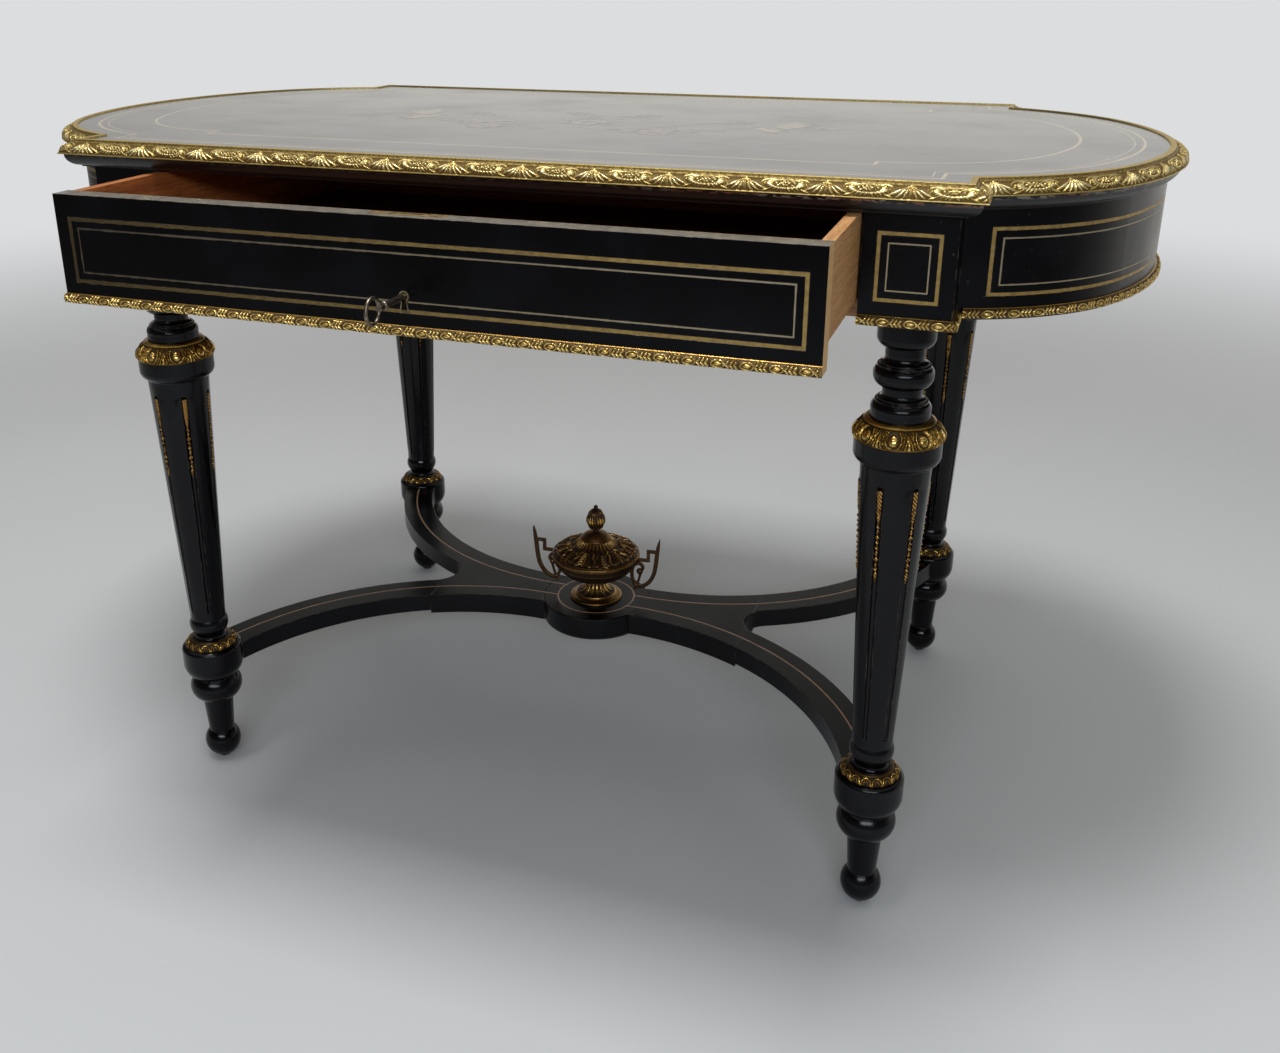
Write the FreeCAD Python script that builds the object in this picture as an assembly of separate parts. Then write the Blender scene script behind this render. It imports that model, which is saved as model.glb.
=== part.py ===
import FreeCAD
import Part
import math
import os

V = FreeCAD.Vector

# Driving dimensions, in millimetres. The origin is on the floor under the middle of the table:
# +X runs along its length, +Y to the back and +Z up. The drawer is drawn standing open.

# Heights
TOP_Z = 742.0
PANEL_TOP = 740.7
PANEL_Z = 729.5
EDGE_LOW = 728.2
FRIEZE_TOP = 715.0
FRIEZE_LOW = 619.0
STRIP_LOW = 618.0
STRIP_TOP = 627.5
END_STRIP_RISE = 2.0
DRAWER_STRIP_FALL = 3.0

# Plan of the top panel inside its gilt edge: a straight middle part that steps back to bowed ends.
# Each bow is a large arc at the tip that runs into a smaller arc at each shoulder.
FRONT_Y = 318.5
STEP_X = 428.5
END_TIP = 592.0
TIP_R = 386.0
SHOULDER_R = 224.0
TIP_ANGLE = math.radians(26.2)
TIP_CX = END_TIP - TIP_R
SHOULDER_CX = TIP_CX + (TIP_R - SHOULDER_R) * math.cos(TIP_ANGLE)
SHOULDER_CY = (TIP_R - SHOULDER_R) * math.sin(TIP_ANGLE)

# Edges, measured outwards from the panel's outline
EDGE_OUT = 18.0
EDGE_LIP = 13.7
EDGE_FILLET = 5.0
UNDER_OUT = 13.5
UNDER_LOW = 2.5
UNDER_CORE = -8.0

# The bowed frieze is a tighter curve than the top's, moved out so that its tip is near the top's edge
BOW_FACE = -18.0
BOW_BACK = -38.0
BOW_SHIFT = 20.0
STRIP_PROUD = 5.5
MITRE_REACH = 20.0

# Inlaid lines
LINE_DEPTH = 0.8
BAND_W = 3.0
FINE_W = 1.2
TOP_LINE_IN = 21.0
TOP_FINE_IN = 31.0
INNER_FRONT_Y = 235.5
INNER_STEP_X = 344.0
INNER_BOW = -80.0

# Corner blocks and carcass
BLOCK = 78.0
BLOCK_IN = 347.0
BLOCK_OUT = BLOCK_IN + BLOCK
FACE_Y = 310.0
LEG_X = BLOCK_IN + BLOCK / 2
LEG_Y = FACE_Y - BLOCK / 2
RAIL = 18.0
RUNNER_W = 25.0
RUNNER_TOP = 636.6
FRONT_RAIL_TOP = 636.0
BOARD = 20.0

# Drawer
DRAWER_HALF = 345.5
DRAWER_OPEN = 149.0
DRAWER_LENGTH = 470.0
DRAWER_TOP = 714.0
DRAWER_LOW = 615.5
SIDE_W = 10.0
SIDE_LOW = 637.0
SIDE_TOP = 713.0
BOTTOM_LOW = 641.0
BOTTOM_TOP = 647.0

# Lock and key
KEY_Z = 649.0
LOCK_HALF = 33.0
PLATE_HALF = 35.0
LOCK_DEEP = 13.0
LOCK_LOW = 637.5
BOLT_HALF = 14.0
BOLT_W = 6.0
BOLT_LOW = 661.5
BIT_R = 10.0
SHANK_R = 2.8
BOW_R = 10.5
BOW_WIRE = 1.5
KEY_OUT = 52.0

# Legs: radii and heights of the turning
SHAFT_LOW = 192.0
SHAFT_HIGH = 484.0
SHAFT_R_LOW = 19.8
SHAFT_R_HIGH = 32.1
DRUM_R = 34.0
COLLAR_LOW = 508.0
COLLAR_TOP = 527.6
COLLAR_SEAT_R = 26.6
FLUTES = 6
FLUTE_TURN = 44.0
ODD_LEG = "back_right"
ODD_LEG_TURN = 20.7
FLUTE_LOW = 203.0
FLUTE_HIGH = 466.0
FLUTE_R_LOW = 2.3
FLUTE_R_HIGH = 3.2
DROP_LOW = 374.0
DROP_PROUD = 0.9
TENON_R = 12.5
TENON_TOP = 655.0
GAP = 0.1

# Stretcher
STRETCH_TOP = 150.0
ARM_LOW = 128.0
FORK_LOW = 124.0
PLATFORM_LOW = 120.0
PLATFORM_R = 67.0
ARM_CX = 60.0
ARM_CY = 348.0
ARM_NEAR = 310.5
ARM_FAR = 352.5
ARM_LINE = 333.5
ARM_JOINT_X = 200.0
ARM_SWEEP = math.radians(76.6)
CROTCH_X = 228.0
CIRCLE_R = 48.5
STRETCH_LINE_W = 1.8
DOWEL_R = 6.0
DOWEL_IN = 20.0

# Urn
ROD_R = 2.5
RIM_R = 55.3
HANDLE_W = 5.0
HANDLE_TURN = 4.5

SIDES = {"left": -1, "right": 1}
CORNERS = {
    "front_left": (-1, -1),
    "front_right": (1, -1),
    "back_left": (-1, 1),
    "back_right": (1, 1),
}
ORIGIN = V(0, 0, 0)
UP = V(0, 0, 1)

nodes = {}


def box(x0, x1, y0, y1, z0, z1):
    return Part.makeBox(x1 - x0, y1 - y0, z1 - z0, V(x0, y0, z0))


def rod(radius, start, end):
    along = end - start
    return Part.makeCylinder(radius, along.Length, start, along)


def fuse(shapes):
    whole = shapes[0]
    for shape in shapes[1:]:
        whole = whole.fuse(shape)
    return whole.removeSplitter()


def cut(shape, *tools):
    for tool in tools:
        shape = shape.cut(tool)
    return shape


def flipped(shape, side_x, side_y=1):
    """A copy on the chosen side: the shape itself is drawn for +X and +Y."""
    if side_x < 0:
        shape = shape.mirror(ORIGIN, V(1, 0, 0))
    if side_y < 0:
        shape = shape.mirror(ORIGIN, V(0, 1, 0))
    return shape.copy()


def profile_face(steps, place):
    """Closed face through (across, height) steps; four numbers are an arc through the first pair."""
    first = place(*steps[0])
    here = first
    edges = []
    for step in steps[1:]:
        there = place(*step[-2:])
        if len(step) == 4:
            edges.append(Part.Arc(here, place(*step[:2]), there).toShape())
        else:
            edges.append(Part.makeLine(here, there))
        here = there
    if not here.isEqual(first, 1e-6):
        edges.append(Part.makeLine(here, first))
    return Part.Face(Part.Wire(edges))


def turned(steps):
    """Solid turned about the vertical axis from (radius, height) steps."""
    return profile_face(steps, lambda r, z: V(r, 0, z)).revolve(ORIGIN, UP, 360)


def prism(points, z0, z1):
    corners = [V(x, y, z0) for x, y in points]
    return Part.Face(Part.makePolygon(corners + corners[:1])).extrude(V(0, 0, z1 - z0))


def slab(edges, z0, z1):
    """Board cut to a closed outline of edges drawn at height z0."""
    return Part.Face(Part.Wire(Part.__sortEdges__(edges))).extrude(V(0, 0, z1 - z0))


# Plan of the bowed ends

def bow_start_y(x, offset):
    """Half depth of the bow where it starts at x, with its outline moved out by offset."""
    across = max(x - SHOULDER_CX, 0.0)
    return SHOULDER_CY + math.sqrt((SHOULDER_R + offset) ** 2 - across ** 2)


def bow_edges(offset, x, z, side):
    """Edges of one bow from its front start, round the tip, to its back start."""
    shoulder = SHOULDER_R + offset
    start = math.acos(max(x - SHOULDER_CX, 0.0) / shoulder)

    def on_shoulder(front, angle):
        across = SHOULDER_CX + shoulder * math.cos(angle)
        return V(side * across, front * (SHOULDER_CY + shoulder * math.sin(angle)), z)

    def shoulder_arc(front):
        middle = (start + TIP_ANGLE) / 2
        ends = on_shoulder(front, start), on_shoulder(front, middle), on_shoulder(front, TIP_ANGLE)
        return Part.Arc(*ends).toShape()

    tip = V(side * (END_TIP + offset), 0, z)
    edges = [
        shoulder_arc(-1),
        Part.Arc(on_shoulder(-1, TIP_ANGLE), tip, on_shoulder(1, TIP_ANGLE)).toShape(),
        shoulder_arc(1),
    ]
    if x < SHOULDER_CX:
        for front in (-1, 1):
            lead = V(side * x, front * (SHOULDER_CY + shoulder), z)
            edges.append(Part.makeLine(lead, on_shoulder(front, start)))
    return edges


def top_outline(front, step, bow_offset, z):
    """Edges of the whole plan: straight front and back, a step at each end, and the two bows."""
    edges = []
    corner_y = bow_start_y(step, bow_offset)
    for y in (-1, 1):
        edges.append(Part.makeLine(V(-step, y * front, z), V(step, y * front, z)))
        for side in (-1, 1):
            edges.append(Part.makeLine(V(side * step, y * front, z), V(side * step, y * corner_y, z)))
    for side in (-1, 1):
        edges += bow_edges(bow_offset, step, z, side)
    return edges


def top_board(offset, z0, z1):
    return slab(top_outline(FRONT_Y + offset, STEP_X + offset, offset, z0), z0, z1)


def frieze_y(x, offset):
    """Half depth of the bowed frieze at the plane x."""
    return bow_start_y(x - BOW_SHIFT, offset)


def bow_slab(inner, outer, z0, z1, x):
    """Curved wall of the right bowed frieze between two offsets, starting at the plane x."""
    start = x - BOW_SHIFT
    edges = bow_edges(inner, start, z0, 1) + bow_edges(outer, start, z0, 1)
    for front in (-1, 1):
        ends = [V(start, front * frieze_y(x, offset), z0) for offset in (inner, outer)]
        edges.append(Part.makeLine(*ends))
    wall = slab(edges, z0, z1)
    wall.translate(V(BOW_SHIFT, 0, 0))
    return wall


# Mouldings that run round the top: straight lengths with short returns at the steps, and bows

def plan_corners(inset):
    """Mitre lines at the back right: outer corner and inner corner, each from inset to reach."""
    outer = [(STEP_X + d, FRONT_Y + d) for d in (-inset, MITRE_REACH)]
    inner = [(STEP_X + d, bow_start_y(STEP_X + d, d)) for d in (-inset, MITRE_REACH)]
    return outer, inner


def edge_straight(steps, inset):
    """Moulding along the back edge, mitred into its returns at the two steps."""
    outer, inner = plan_corners(inset)
    reach_x = STEP_X + MITRE_REACH
    run = profile_face(steps, lambda o, z: V(-reach_x, FRONT_Y + o, z)).extrude(V(2 * reach_x, 0, 0))
    left = [(-x, y) for x, y in reversed(outer)]
    pieces = [run.common(prism(outer + left, 0, TOP_Z))]
    back = profile_face(steps, lambda o, z: V(STEP_X + o, FRONT_Y + MITRE_REACH, z))
    back = back.extrude(V(0, -FRONT_Y, 0)).common(prism(outer + inner[::-1], 0, TOP_Z))
    pieces += [back, flipped(back, -1)]
    return fuse(pieces)


def edge_bow(steps, inset):
    """Moulding round the right bow, mitred to the returns at its two ends."""
    arcs = [
        (TIP_CX, 0.0, TIP_R, -TIP_ANGLE, TIP_ANGLE),
        (SHOULDER_CX, SHOULDER_CY, SHOULDER_R, TIP_ANGLE, math.pi / 2),
        (SHOULDER_CX, -SHOULDER_CY, SHOULDER_R, -math.pi / 2, -TIP_ANGLE),
    ]
    runs = []
    for cx, cy, radius, start, end in arcs:
        face = profile_face(steps, lambda o, z: V(cx + radius + o, cy, z))
        face.rotate(V(cx, cy, 0), UP, math.degrees(start))
        runs.append(face.revolve(V(cx, cy, 0), UP, math.degrees(end - start)))
    inner = plan_corners(inset)[1]
    far = END_TIP + 2 * MITRE_REACH
    ahead = [(far, inner[1][1] + 2 * MITRE_REACH), (inner[1][0], inner[1][1] + 2 * MITRE_REACH)]
    upper = [*ahead, inner[1], inner[0]]
    lower = [(x, -y) for x, y in reversed(upper)]
    return fuse(runs).common(prism(upper + lower, 0, TOP_Z))


# Inlaid lines of the top: two lines parallel to the edge, and an inner panel with stepped corners

def line_band(front, step, bow_offset, width):
    low = PANEL_TOP - LINE_DEPTH
    whole = slab(top_outline(front, step, bow_offset, low), low, PANEL_TOP)
    inside = slab(top_outline(front - width, step - width, bow_offset - width, low), low, PANEL_TOP)
    return whole.cut(inside)


top_lines = [
    line_band(FRONT_Y - TOP_LINE_IN, STEP_X - TOP_LINE_IN, -TOP_LINE_IN, BAND_W),
    line_band(FRONT_Y - TOP_FINE_IN, STEP_X - TOP_FINE_IN, -TOP_FINE_IN, FINE_W),
    line_band(INNER_FRONT_Y, INNER_STEP_X, INNER_BOW, BAND_W),
]
nodes["top_inlay"] = Part.makeCompound(top_lines)

# Top panel, and the moulded board under it, which has a mortise for the lock bolt

nodes["top_panel"] = cut(top_board(0.0, PANEL_Z, PANEL_TOP), *top_lines)

under_profile = [
    (UNDER_CORE, FRIEZE_TOP),
    (UNDER_LOW, FRIEZE_TOP),
    (UNDER_LOW, 716.2),
    (10.3, 719.6, UNDER_OUT, 727.0),
    (UNDER_OUT, PANEL_Z),
    (UNDER_CORE, PANEL_Z),
]
under_back = edge_straight(under_profile, -UNDER_CORE)
under_bow = edge_bow(under_profile, -UNDER_CORE)
BOLT_SEAT = FACE_Y - BOARD + LOCK_DEEP / 2
mortise = box(-16, 16, -BOLT_SEAT - 5, -BOLT_SEAT + 5, FRIEZE_TOP, FRIEZE_TOP + 11)
under_parts = [top_board(UNDER_CORE, FRIEZE_TOP, PANEL_Z), under_back, flipped(under_back, 1, -1)]
under_parts += [under_bow, flipped(under_bow, -1)]
nodes["under_board"] = fuse(under_parts).cut(mortise)

# Cast gilt edge: a flat fillet that stands a little above the panel, a hollow, an ovolo and a lower bead

edge_profile = [
    (0.0, PANEL_Z),
    (EDGE_LIP, PANEL_Z),
    (EDGE_LIP, EDGE_LOW),
    (EDGE_OUT - 0.8, EDGE_LOW),
    (EDGE_OUT, 729.0),
    (EDGE_OUT, 730.4),
    (EDGE_OUT - 0.6, 731.0),
    (14.6, 737.4, 6.4, 739.6),
    (5.6, 740.2, EDGE_FILLET + 0.4, 741.4),
    (EDGE_FILLET, TOP_Z),
    (0.0, TOP_Z),
]
edge_back = edge_straight(edge_profile, 0.0)
edge_end = edge_bow(edge_profile, 0.0)
nodes["top_edge_back"] = edge_back
nodes["top_edge_front"] = flipped(edge_back, 1, -1)
for name, side in SIDES.items():
    nodes["top_edge_" + name] = flipped(edge_end, side)

# Stringing: a broad band and a fine line inside it, let into the face of each frieze panel

STRING_LOW = 639.2
STRING_TOP = 698.3
DRAWER_STRING_LOW = 634.7
DRAWER_STRING_TOP = 693.8
BLOCK_STRING_HALF = 26.5
PANEL_STRING_HALF = 332.3
STRING_GAP = 9.0
BOW_STRING_IN = 22.7


def string_frames(half_w, low, high, face_y, centre_x):
    """Broad and fine rectangles on a flat face that looks towards -Y."""
    frames = []
    for inset, width in ((0.0, BAND_W), (STRING_GAP, FINE_W)):
        rings = []
        for grow in (inset, inset + width):
            x = half_w - grow
            deep = LINE_DEPTH
            rings.append(box(centre_x - x, centre_x + x, face_y, face_y + deep, low + grow, high - grow))
        frames.append(rings[0].cut(rings[1]))
    return frames


def bow_strings():
    """The same two frames bent round the right bow."""
    frames = []
    start = BLOCK_OUT + BOW_STRING_IN
    for inset, width in ((0.0, BAND_W), (STRING_GAP, FINE_W)):
        rings = []
        for grow in (inset, inset + width):
            low = STRING_LOW + grow
            high = STRING_TOP - grow
            rings.append(bow_slab(BOW_FACE - LINE_DEPTH, BOW_FACE, low, high, start + grow))
        frames.append(rings[0].cut(rings[1]))
    return frames


block_frames = string_frames(BLOCK_STRING_HALF, STRING_LOW, STRING_TOP, -FACE_Y, LEG_X)
front_frames = [flipped(f, side) for f in block_frames for side in (1, -1)]
back_panel_frames = string_frames(PANEL_STRING_HALF, STRING_LOW, STRING_TOP, -FACE_Y, 0.0)
back_panel_frames = [flipped(f, 1, -1) for f in back_panel_frames]
back_frames = [flipped(f, 1, -1) for f in front_frames]
end_frames = bow_strings()
nodes["block_stringing"] = Part.makeCompound(front_frames + back_frames)
nodes["back_stringing"] = Part.makeCompound(back_panel_frames)
nodes["end_stringing"] = Part.makeCompound([flipped(f, side) for f in end_frames for side in (1, -1)])

# Corner blocks, bored for the leg tenons, and the frieze panels between them

block = box(BLOCK_IN, BLOCK_OUT, -FACE_Y, -FACE_Y + BLOCK, FRIEZE_LOW, FRIEZE_TOP)
leg_bore = rod(TENON_R + GAP, V(LEG_X, -LEG_Y, FRIEZE_LOW), V(LEG_X, -LEG_Y, TENON_TOP + GAP))
block = cut(block, leg_bore, *block_frames)
for name, (side_x, side_y) in CORNERS.items():
    nodes["corner_block_" + name] = flipped(block, side_x, -side_y)

end_frieze = cut(bow_slab(BOW_BACK, BOW_FACE, FRIEZE_LOW, FRIEZE_TOP, BLOCK_OUT), *end_frames)
for name, side in SIDES.items():
    nodes["end_frieze_" + name] = flipped(end_frieze, side)

back_frieze = box(-BLOCK_IN, BLOCK_IN, FACE_Y - BOARD, FACE_Y, FRIEZE_LOW, FRIEZE_TOP)
nodes["back_frieze"] = cut(back_frieze, *back_panel_frames)

# Carcass inside the frieze: lower front rail, side rails, drawer runners, stops and glue blocks

REAR_Y = FACE_Y - BOARD
FRONT_RAIL_Y = -REAR_Y + 1.5
FRONT_RAIL_BACK = -240.0
BLOCK_BACK_Y = FACE_Y - BLOCK
nodes["front_rail"] = box(-BLOCK_IN, BLOCK_IN, FRONT_RAIL_Y, FRONT_RAIL_BACK, FRIEZE_LOW, FRONT_RAIL_TOP)
side_rail = box(BLOCK_IN, BLOCK_IN + RAIL, -BLOCK_BACK_Y, BLOCK_BACK_Y, FRIEZE_LOW, FRIEZE_TOP)
runner = box(BLOCK_IN - RUNNER_W, BLOCK_IN, FRONT_RAIL_BACK, REAR_Y, FRIEZE_LOW + 3, RUNNER_TOP)
for name, side in SIDES.items():
    nodes["side_rail_" + name] = flipped(side_rail, side)
    nodes["drawer_runner_" + name] = flipped(runner, side)

stop_y = -FACE_Y + DRAWER_LENGTH + 0.5
stop = box(BLOCK_IN - RUNNER_W + 3, BLOCK_IN - 3, stop_y, stop_y + 15, RUNNER_TOP, RUNNER_TOP + 16)
nodes["drawer_stops"] = Part.makeCompound([flipped(stop, side) for side in SIDES.values()])

glue_block = box(BLOCK_IN + RAIL, BLOCK_IN + RAIL + 22, -20, 20, FRIEZE_TOP - 22, FRIEZE_TOP)
glue_blocks = []
for side in SIDES.values():
    for y in (-130, 0, 130):
        placed = flipped(glue_block, side)
        placed.translate(V(0, y, 0))
        glue_blocks.append(placed)
nodes["glue_blocks"] = Part.makeCompound(glue_blocks)

# Cast strip along the bottom of the frieze, returned round the outer side of each block

strip_bow_x = BLOCK_OUT + STRIP_PROUD
block_strip = prism(
    [
        (BLOCK_IN, FACE_Y),
        (BLOCK_IN, FACE_Y + STRIP_PROUD),
        (strip_bow_x, FACE_Y + STRIP_PROUD),
        (strip_bow_x, frieze_y(strip_bow_x, BOW_FACE)),
        (BLOCK_OUT, frieze_y(BLOCK_OUT, BOW_FACE)),
        (BLOCK_OUT, FACE_Y),
    ],
    STRIP_LOW,
    STRIP_TOP,
)
nodes["block_strips"] = Part.makeCompound([flipped(block_strip, *corner) for corner in CORNERS.values()])
end_strip = bow_slab(BOW_FACE, BOW_FACE + STRIP_PROUD, STRIP_LOW, STRIP_TOP, strip_bow_x)
end_strip.translate(UP * END_STRIP_RISE)
nodes["end_strips"] = Part.makeCompound([flipped(end_strip, side) for side in SIDES.values()])
nodes["back_strip"] = box(-BLOCK_IN, BLOCK_IN, FACE_Y, FACE_Y + STRIP_PROUD, STRIP_LOW, STRIP_TOP)

# Turned leg from its ball foot up: bun, drum, shaft, seat of the gilt collar, two bulges and a disc

leg_profile = [
    (0.0, 3.0),
    (8.3, 3.0),
    (20.7, 22.5, 14.5, 38.0),
    (17.4, 81.0),
    (19.2, 82.5),
    (29.6, 100.0, 25.2, 112.0),
    (24.1, 113.2),
    (25.2, 114.4),
    (31.4, 121.6, DRUM_R, 133.0),
    (DRUM_R, 150.0),
    (32.8, 153.4, 29.6, 155.0),
    (20.5, 155.0),
    (20.5, 164.2),
    (17.2, 164.8),
    (16.2, 167.6, 17.2, 170.4),
    (18.0, 171.6),
    (21.6, 179.0, SHAFT_R_LOW, 190.0),
    (SHAFT_R_LOW, SHAFT_LOW),
    (SHAFT_R_HIGH, SHAFT_HIGH),
    (33.2, 485.5),
    (36.0, 487.2, 39.2, 493.6),
    (39.2, COLLAR_LOW),
    (COLLAR_SEAT_R, COLLAR_LOW),
    (COLLAR_SEAT_R, 535.0),
    (26.0, 539.8, 23.4, 542.4),
    (23.4, 543.9),
    (21.4, 543.9),
    (21.4, 545.9),
    (18.2, 547.4, 17.5, 551.0),
    (17.5, 555.8),
    (24.6, 560.2, 26.5, 567.5),
    (25.8, 572.0, 23.4, 574.8),
    (23.4, 576.4),
    (21.4, 576.4),
    (21.4, 578.4),
    (18.2, 580.4, 17.4, 585.0),
    (17.4, 592.4),
    (18.6, 592.4),
    (23.2, 595.2, 25.6, 601.0),
    (25.6, FRIEZE_LOW),
    (TENON_R, FRIEZE_LOW),
    (TENON_R, TENON_TOP),
    (0.0, TENON_TOP),
]


def shaft_radius(z):
    rise = (z - SHAFT_LOW) / (SHAFT_HIGH - SHAFT_LOW)
    return SHAFT_R_LOW + rise * (SHAFT_R_HIGH - SHAFT_R_LOW)


def flute_point(z):
    return V(shaft_radius(z), 0, z)


def flute_cutter():
    """Tapering groove with round ends, sunk to half its width in the shaft."""
    low = flute_point(FLUTE_LOW)
    high = flute_point(FLUTE_HIGH)
    along = high - low
    cone = Part.makeCone(FLUTE_R_LOW, FLUTE_R_HIGH, along.Length, low, along)
    return fuse([cone, Part.makeSphere(FLUTE_R_LOW, low), Part.makeSphere(FLUTE_R_HIGH, high)])


def flute_drop():
    """Cast drop in the top of a flute: a plain bar over a chain of husks that ends in a point."""
    along = flute_point(FLUTE_HIGH) - flute_point(DROP_LOW)
    steps = [
        (0.0, 0.0),
        (1.9, 8.0, 1.1, 15.0),
        (2.5, 23.0, 1.1, 31.0),
        (2.6, 40.0, 1.2, 49.0),
        (2.6, 58.0, 1.2, 67.0),
        (2.7, 69.0),
        (2.7, along.Length),
        (0.0, along.Length),
    ]
    drop = turned(steps)
    drop.Placement = FreeCAD.Placement(flute_point(DROP_LOW), FreeCAD.Rotation(UP, along))
    rise = SHAFT_HIGH - SHAFT_LOW
    skin = Part.makeCone(SHAFT_R_LOW + DROP_PROUD, SHAFT_R_HIGH + DROP_PROUD, rise, V(0, 0, SHAFT_LOW))
    return drop.common(skin)


def round_the_leg(shape):
    turns = []
    for count in range(FLUTES):
        placed = shape.copy()
        placed.rotate(ORIGIN, UP, FLUTE_TURN - 90 + count * 360 / FLUTES)
        turns.append(placed)
    return turns


def at_corner(shape, name):
    placed = shape.copy()
    if name == ODD_LEG:
        placed.rotate(ORIGIN, UP, ODD_LEG_TURN)
    side_x, side_y = CORNERS[name]
    placed.translate(V(side_x * LEG_X, side_y * LEG_Y, 0))
    return placed


def on_arm(radius, angle, z):
    """Point on the back right arm: angle 0 is where the arm runs along X beside the platform."""
    return V(ARM_CX + radius * math.sin(angle), ARM_CY - radius * math.cos(angle), z)


arm_mid = (ARM_NEAR + ARM_FAR) / 2
arm_z = (ARM_LOW + STRETCH_TOP) / 2
leg_axis = V(LEG_X, LEG_Y, 0)
arm_end = on_arm(arm_mid, ARM_SWEEP, arm_z)
arm_way = V(math.cos(ARM_SWEEP), math.sin(ARM_SWEEP), 0)
dowel_start = arm_end - arm_way * (DRUM_R + 12)
dowel_end = arm_end - arm_way * (DRUM_R - DOWEL_IN)
drum_bore = rod(DRUM_R + GAP, leg_axis, leg_axis + V(0, 0, STRETCH_TOP + 20))
dowel = rod(DOWEL_R, dowel_start, dowel_end)
dowel_hole = rod(DOWEL_R + GAP, dowel_start, dowel_end + arm_way)
glide_hole = rod(1.6, V(0, 0, 0), V(0, 0, 16))

fluted_leg = cut(turned(leg_profile), glide_hole, *round_the_leg(flute_cutter()))
drops = round_the_leg(flute_drop())
collar = turned(
    [
        (COLLAR_SEAT_R + GAP, COLLAR_LOW),
        (40.0, COLLAR_LOW),
        (41.4, 511.8, 39.2, 516.2),
        (35.6, 521.4, 31.2, 524.8),
        (31.4, 526.0),
        (29.4, COLLAR_TOP),
        (COLLAR_SEAT_R + GAP, COLLAR_TOP),
    ]
)
lower_ring = turned(
    [
        (20.5 + GAP, 155.0),
        (29.2, 155.0),
        (28.0, 159.6, 24.0, 162.6),
        (23.0, 163.8),
        (20.5 + GAP, 163.8),
    ]
)
glide = turned([(0.0, 0.0), (6.4, 0.0), (7.6, 1.2), (7.6, 3.0), (1.5, 3.0), (1.5, 15.0), (0.0, 15.0)])
for name, (side_x, side_y) in CORNERS.items():
    standing = at_corner(fluted_leg, name)
    nodes["leg_" + name] = standing.cut(flipped(dowel_hole, side_x, side_y))
nodes["leg_collars"] = Part.makeCompound([at_corner(collar, name) for name in CORNERS])
nodes["leg_rings"] = Part.makeCompound([at_corner(lower_ring, name) for name in CORNERS])
nodes["flute_drops"] = Part.makeCompound([at_corner(drop, name) for name in CORNERS for drop in drops])
nodes["foot_glides"] = Part.makeCompound([at_corner(glide, name) for name in CORNERS])

# Stretcher: four curved arms on two forked boards, which are tenoned into a round platform

arm_centre = V(ARM_CX, ARM_CY, 0)
crotch = V(CROTCH_X, 0, 0)
crotch_r = (crotch - arm_centre).Length - ARM_FAR
crotch_meet = arm_centre + (crotch - arm_centre) * (ARM_FAR / (ARM_FAR + crotch_r))
joint_near_y = ARM_CY - math.sqrt(ARM_NEAR ** 2 - (ARM_JOINT_X - ARM_CX) ** 2)
joint_far_y = math.sqrt(crotch_r ** 2 - (CROTCH_X - ARM_JOINT_X) ** 2)


def arc_on_arm(radius, start, end, z):
    points = [on_arm(radius, angle, z) for angle in (start, (start + end) / 2, end)]
    return Part.Arc(*points).toShape()


def arm_angle(point):
    return math.atan2(point.x - ARM_CX, ARM_CY - point.y)


def crotch_arc(start, end, z):
    """Arc of the rounded crotch between two of its points."""
    middle = (start + end) * 0.5 - crotch
    middle = crotch + middle * (crotch_r / middle.Length)
    return Part.Arc(*[V(p.x, p.y, z) for p in (start, middle, end)]).toShape()


joint_near = V(ARM_JOINT_X, joint_near_y, 0)
joint_far = V(ARM_JOINT_X, joint_far_y, 0)
arm_edges = [
    arc_on_arm(ARM_NEAR, arm_angle(joint_near), ARM_SWEEP, ARM_LOW),
    Part.makeLine(on_arm(ARM_NEAR, ARM_SWEEP, ARM_LOW), on_arm(ARM_FAR, ARM_SWEEP, ARM_LOW)),
    arc_on_arm(ARM_FAR, arm_angle(crotch_meet), ARM_SWEEP, ARM_LOW),
    crotch_arc(joint_far, crotch_meet, ARM_LOW),
    Part.makeLine(joint_far + V(0, 0, ARM_LOW), joint_near + V(0, 0, ARM_LOW)),
]
arm = slab(arm_edges, ARM_LOW, STRETCH_TOP).cut(drum_bore).fuse(dowel)

hub_y = ARM_CY - ARM_NEAR
fork_start = PLATFORM_R - 30
fork_half = [
    arc_on_arm(ARM_NEAR, 0, arm_angle(joint_near), FORK_LOW),
    Part.makeLine(V(fork_start, hub_y, FORK_LOW), V(ARM_CX, hub_y, FORK_LOW)),
    Part.makeLine(joint_near + V(0, 0, FORK_LOW), joint_far + V(0, 0, FORK_LOW)),
]
fork_edges = fork_half + [flipped(edge, 1, -1) for edge in fork_half]
fork_edges.append(crotch_arc(joint_far, V(ARM_JOINT_X, -joint_far_y, 0), FORK_LOW))
fork_edges.append(Part.makeLine(V(fork_start, -hub_y, FORK_LOW), V(fork_start, hub_y, FORK_LOW)))
platform_core = rod(PLATFORM_R + GAP, V(0, 0, 0), V(0, 0, STRETCH_TOP))
tongue = box(fork_start, PLATFORM_R + 10, -18, 18, FORK_LOW + 8, STRETCH_TOP - 7)
fork = slab(fork_edges, FORK_LOW, STRETCH_TOP).cut(platform_core).fuse(tongue)

platform = turned(
    [
        (ROD_R + GAP, PLATFORM_LOW),
        (60.0, PLATFORM_LOW),
        (65.0, 121.8, PLATFORM_R, 127.0),
        (PLATFORM_R, STRETCH_TOP - 1.2),
        (PLATFORM_R - 1.2, STRETCH_TOP),
        (ROD_R + GAP, STRETCH_TOP),
    ]
)
platform = cut(platform, tongue, flipped(tongue, -1))

# Inlaid lines of the stretcher: a circle on the platform and a line along each arm

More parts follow.
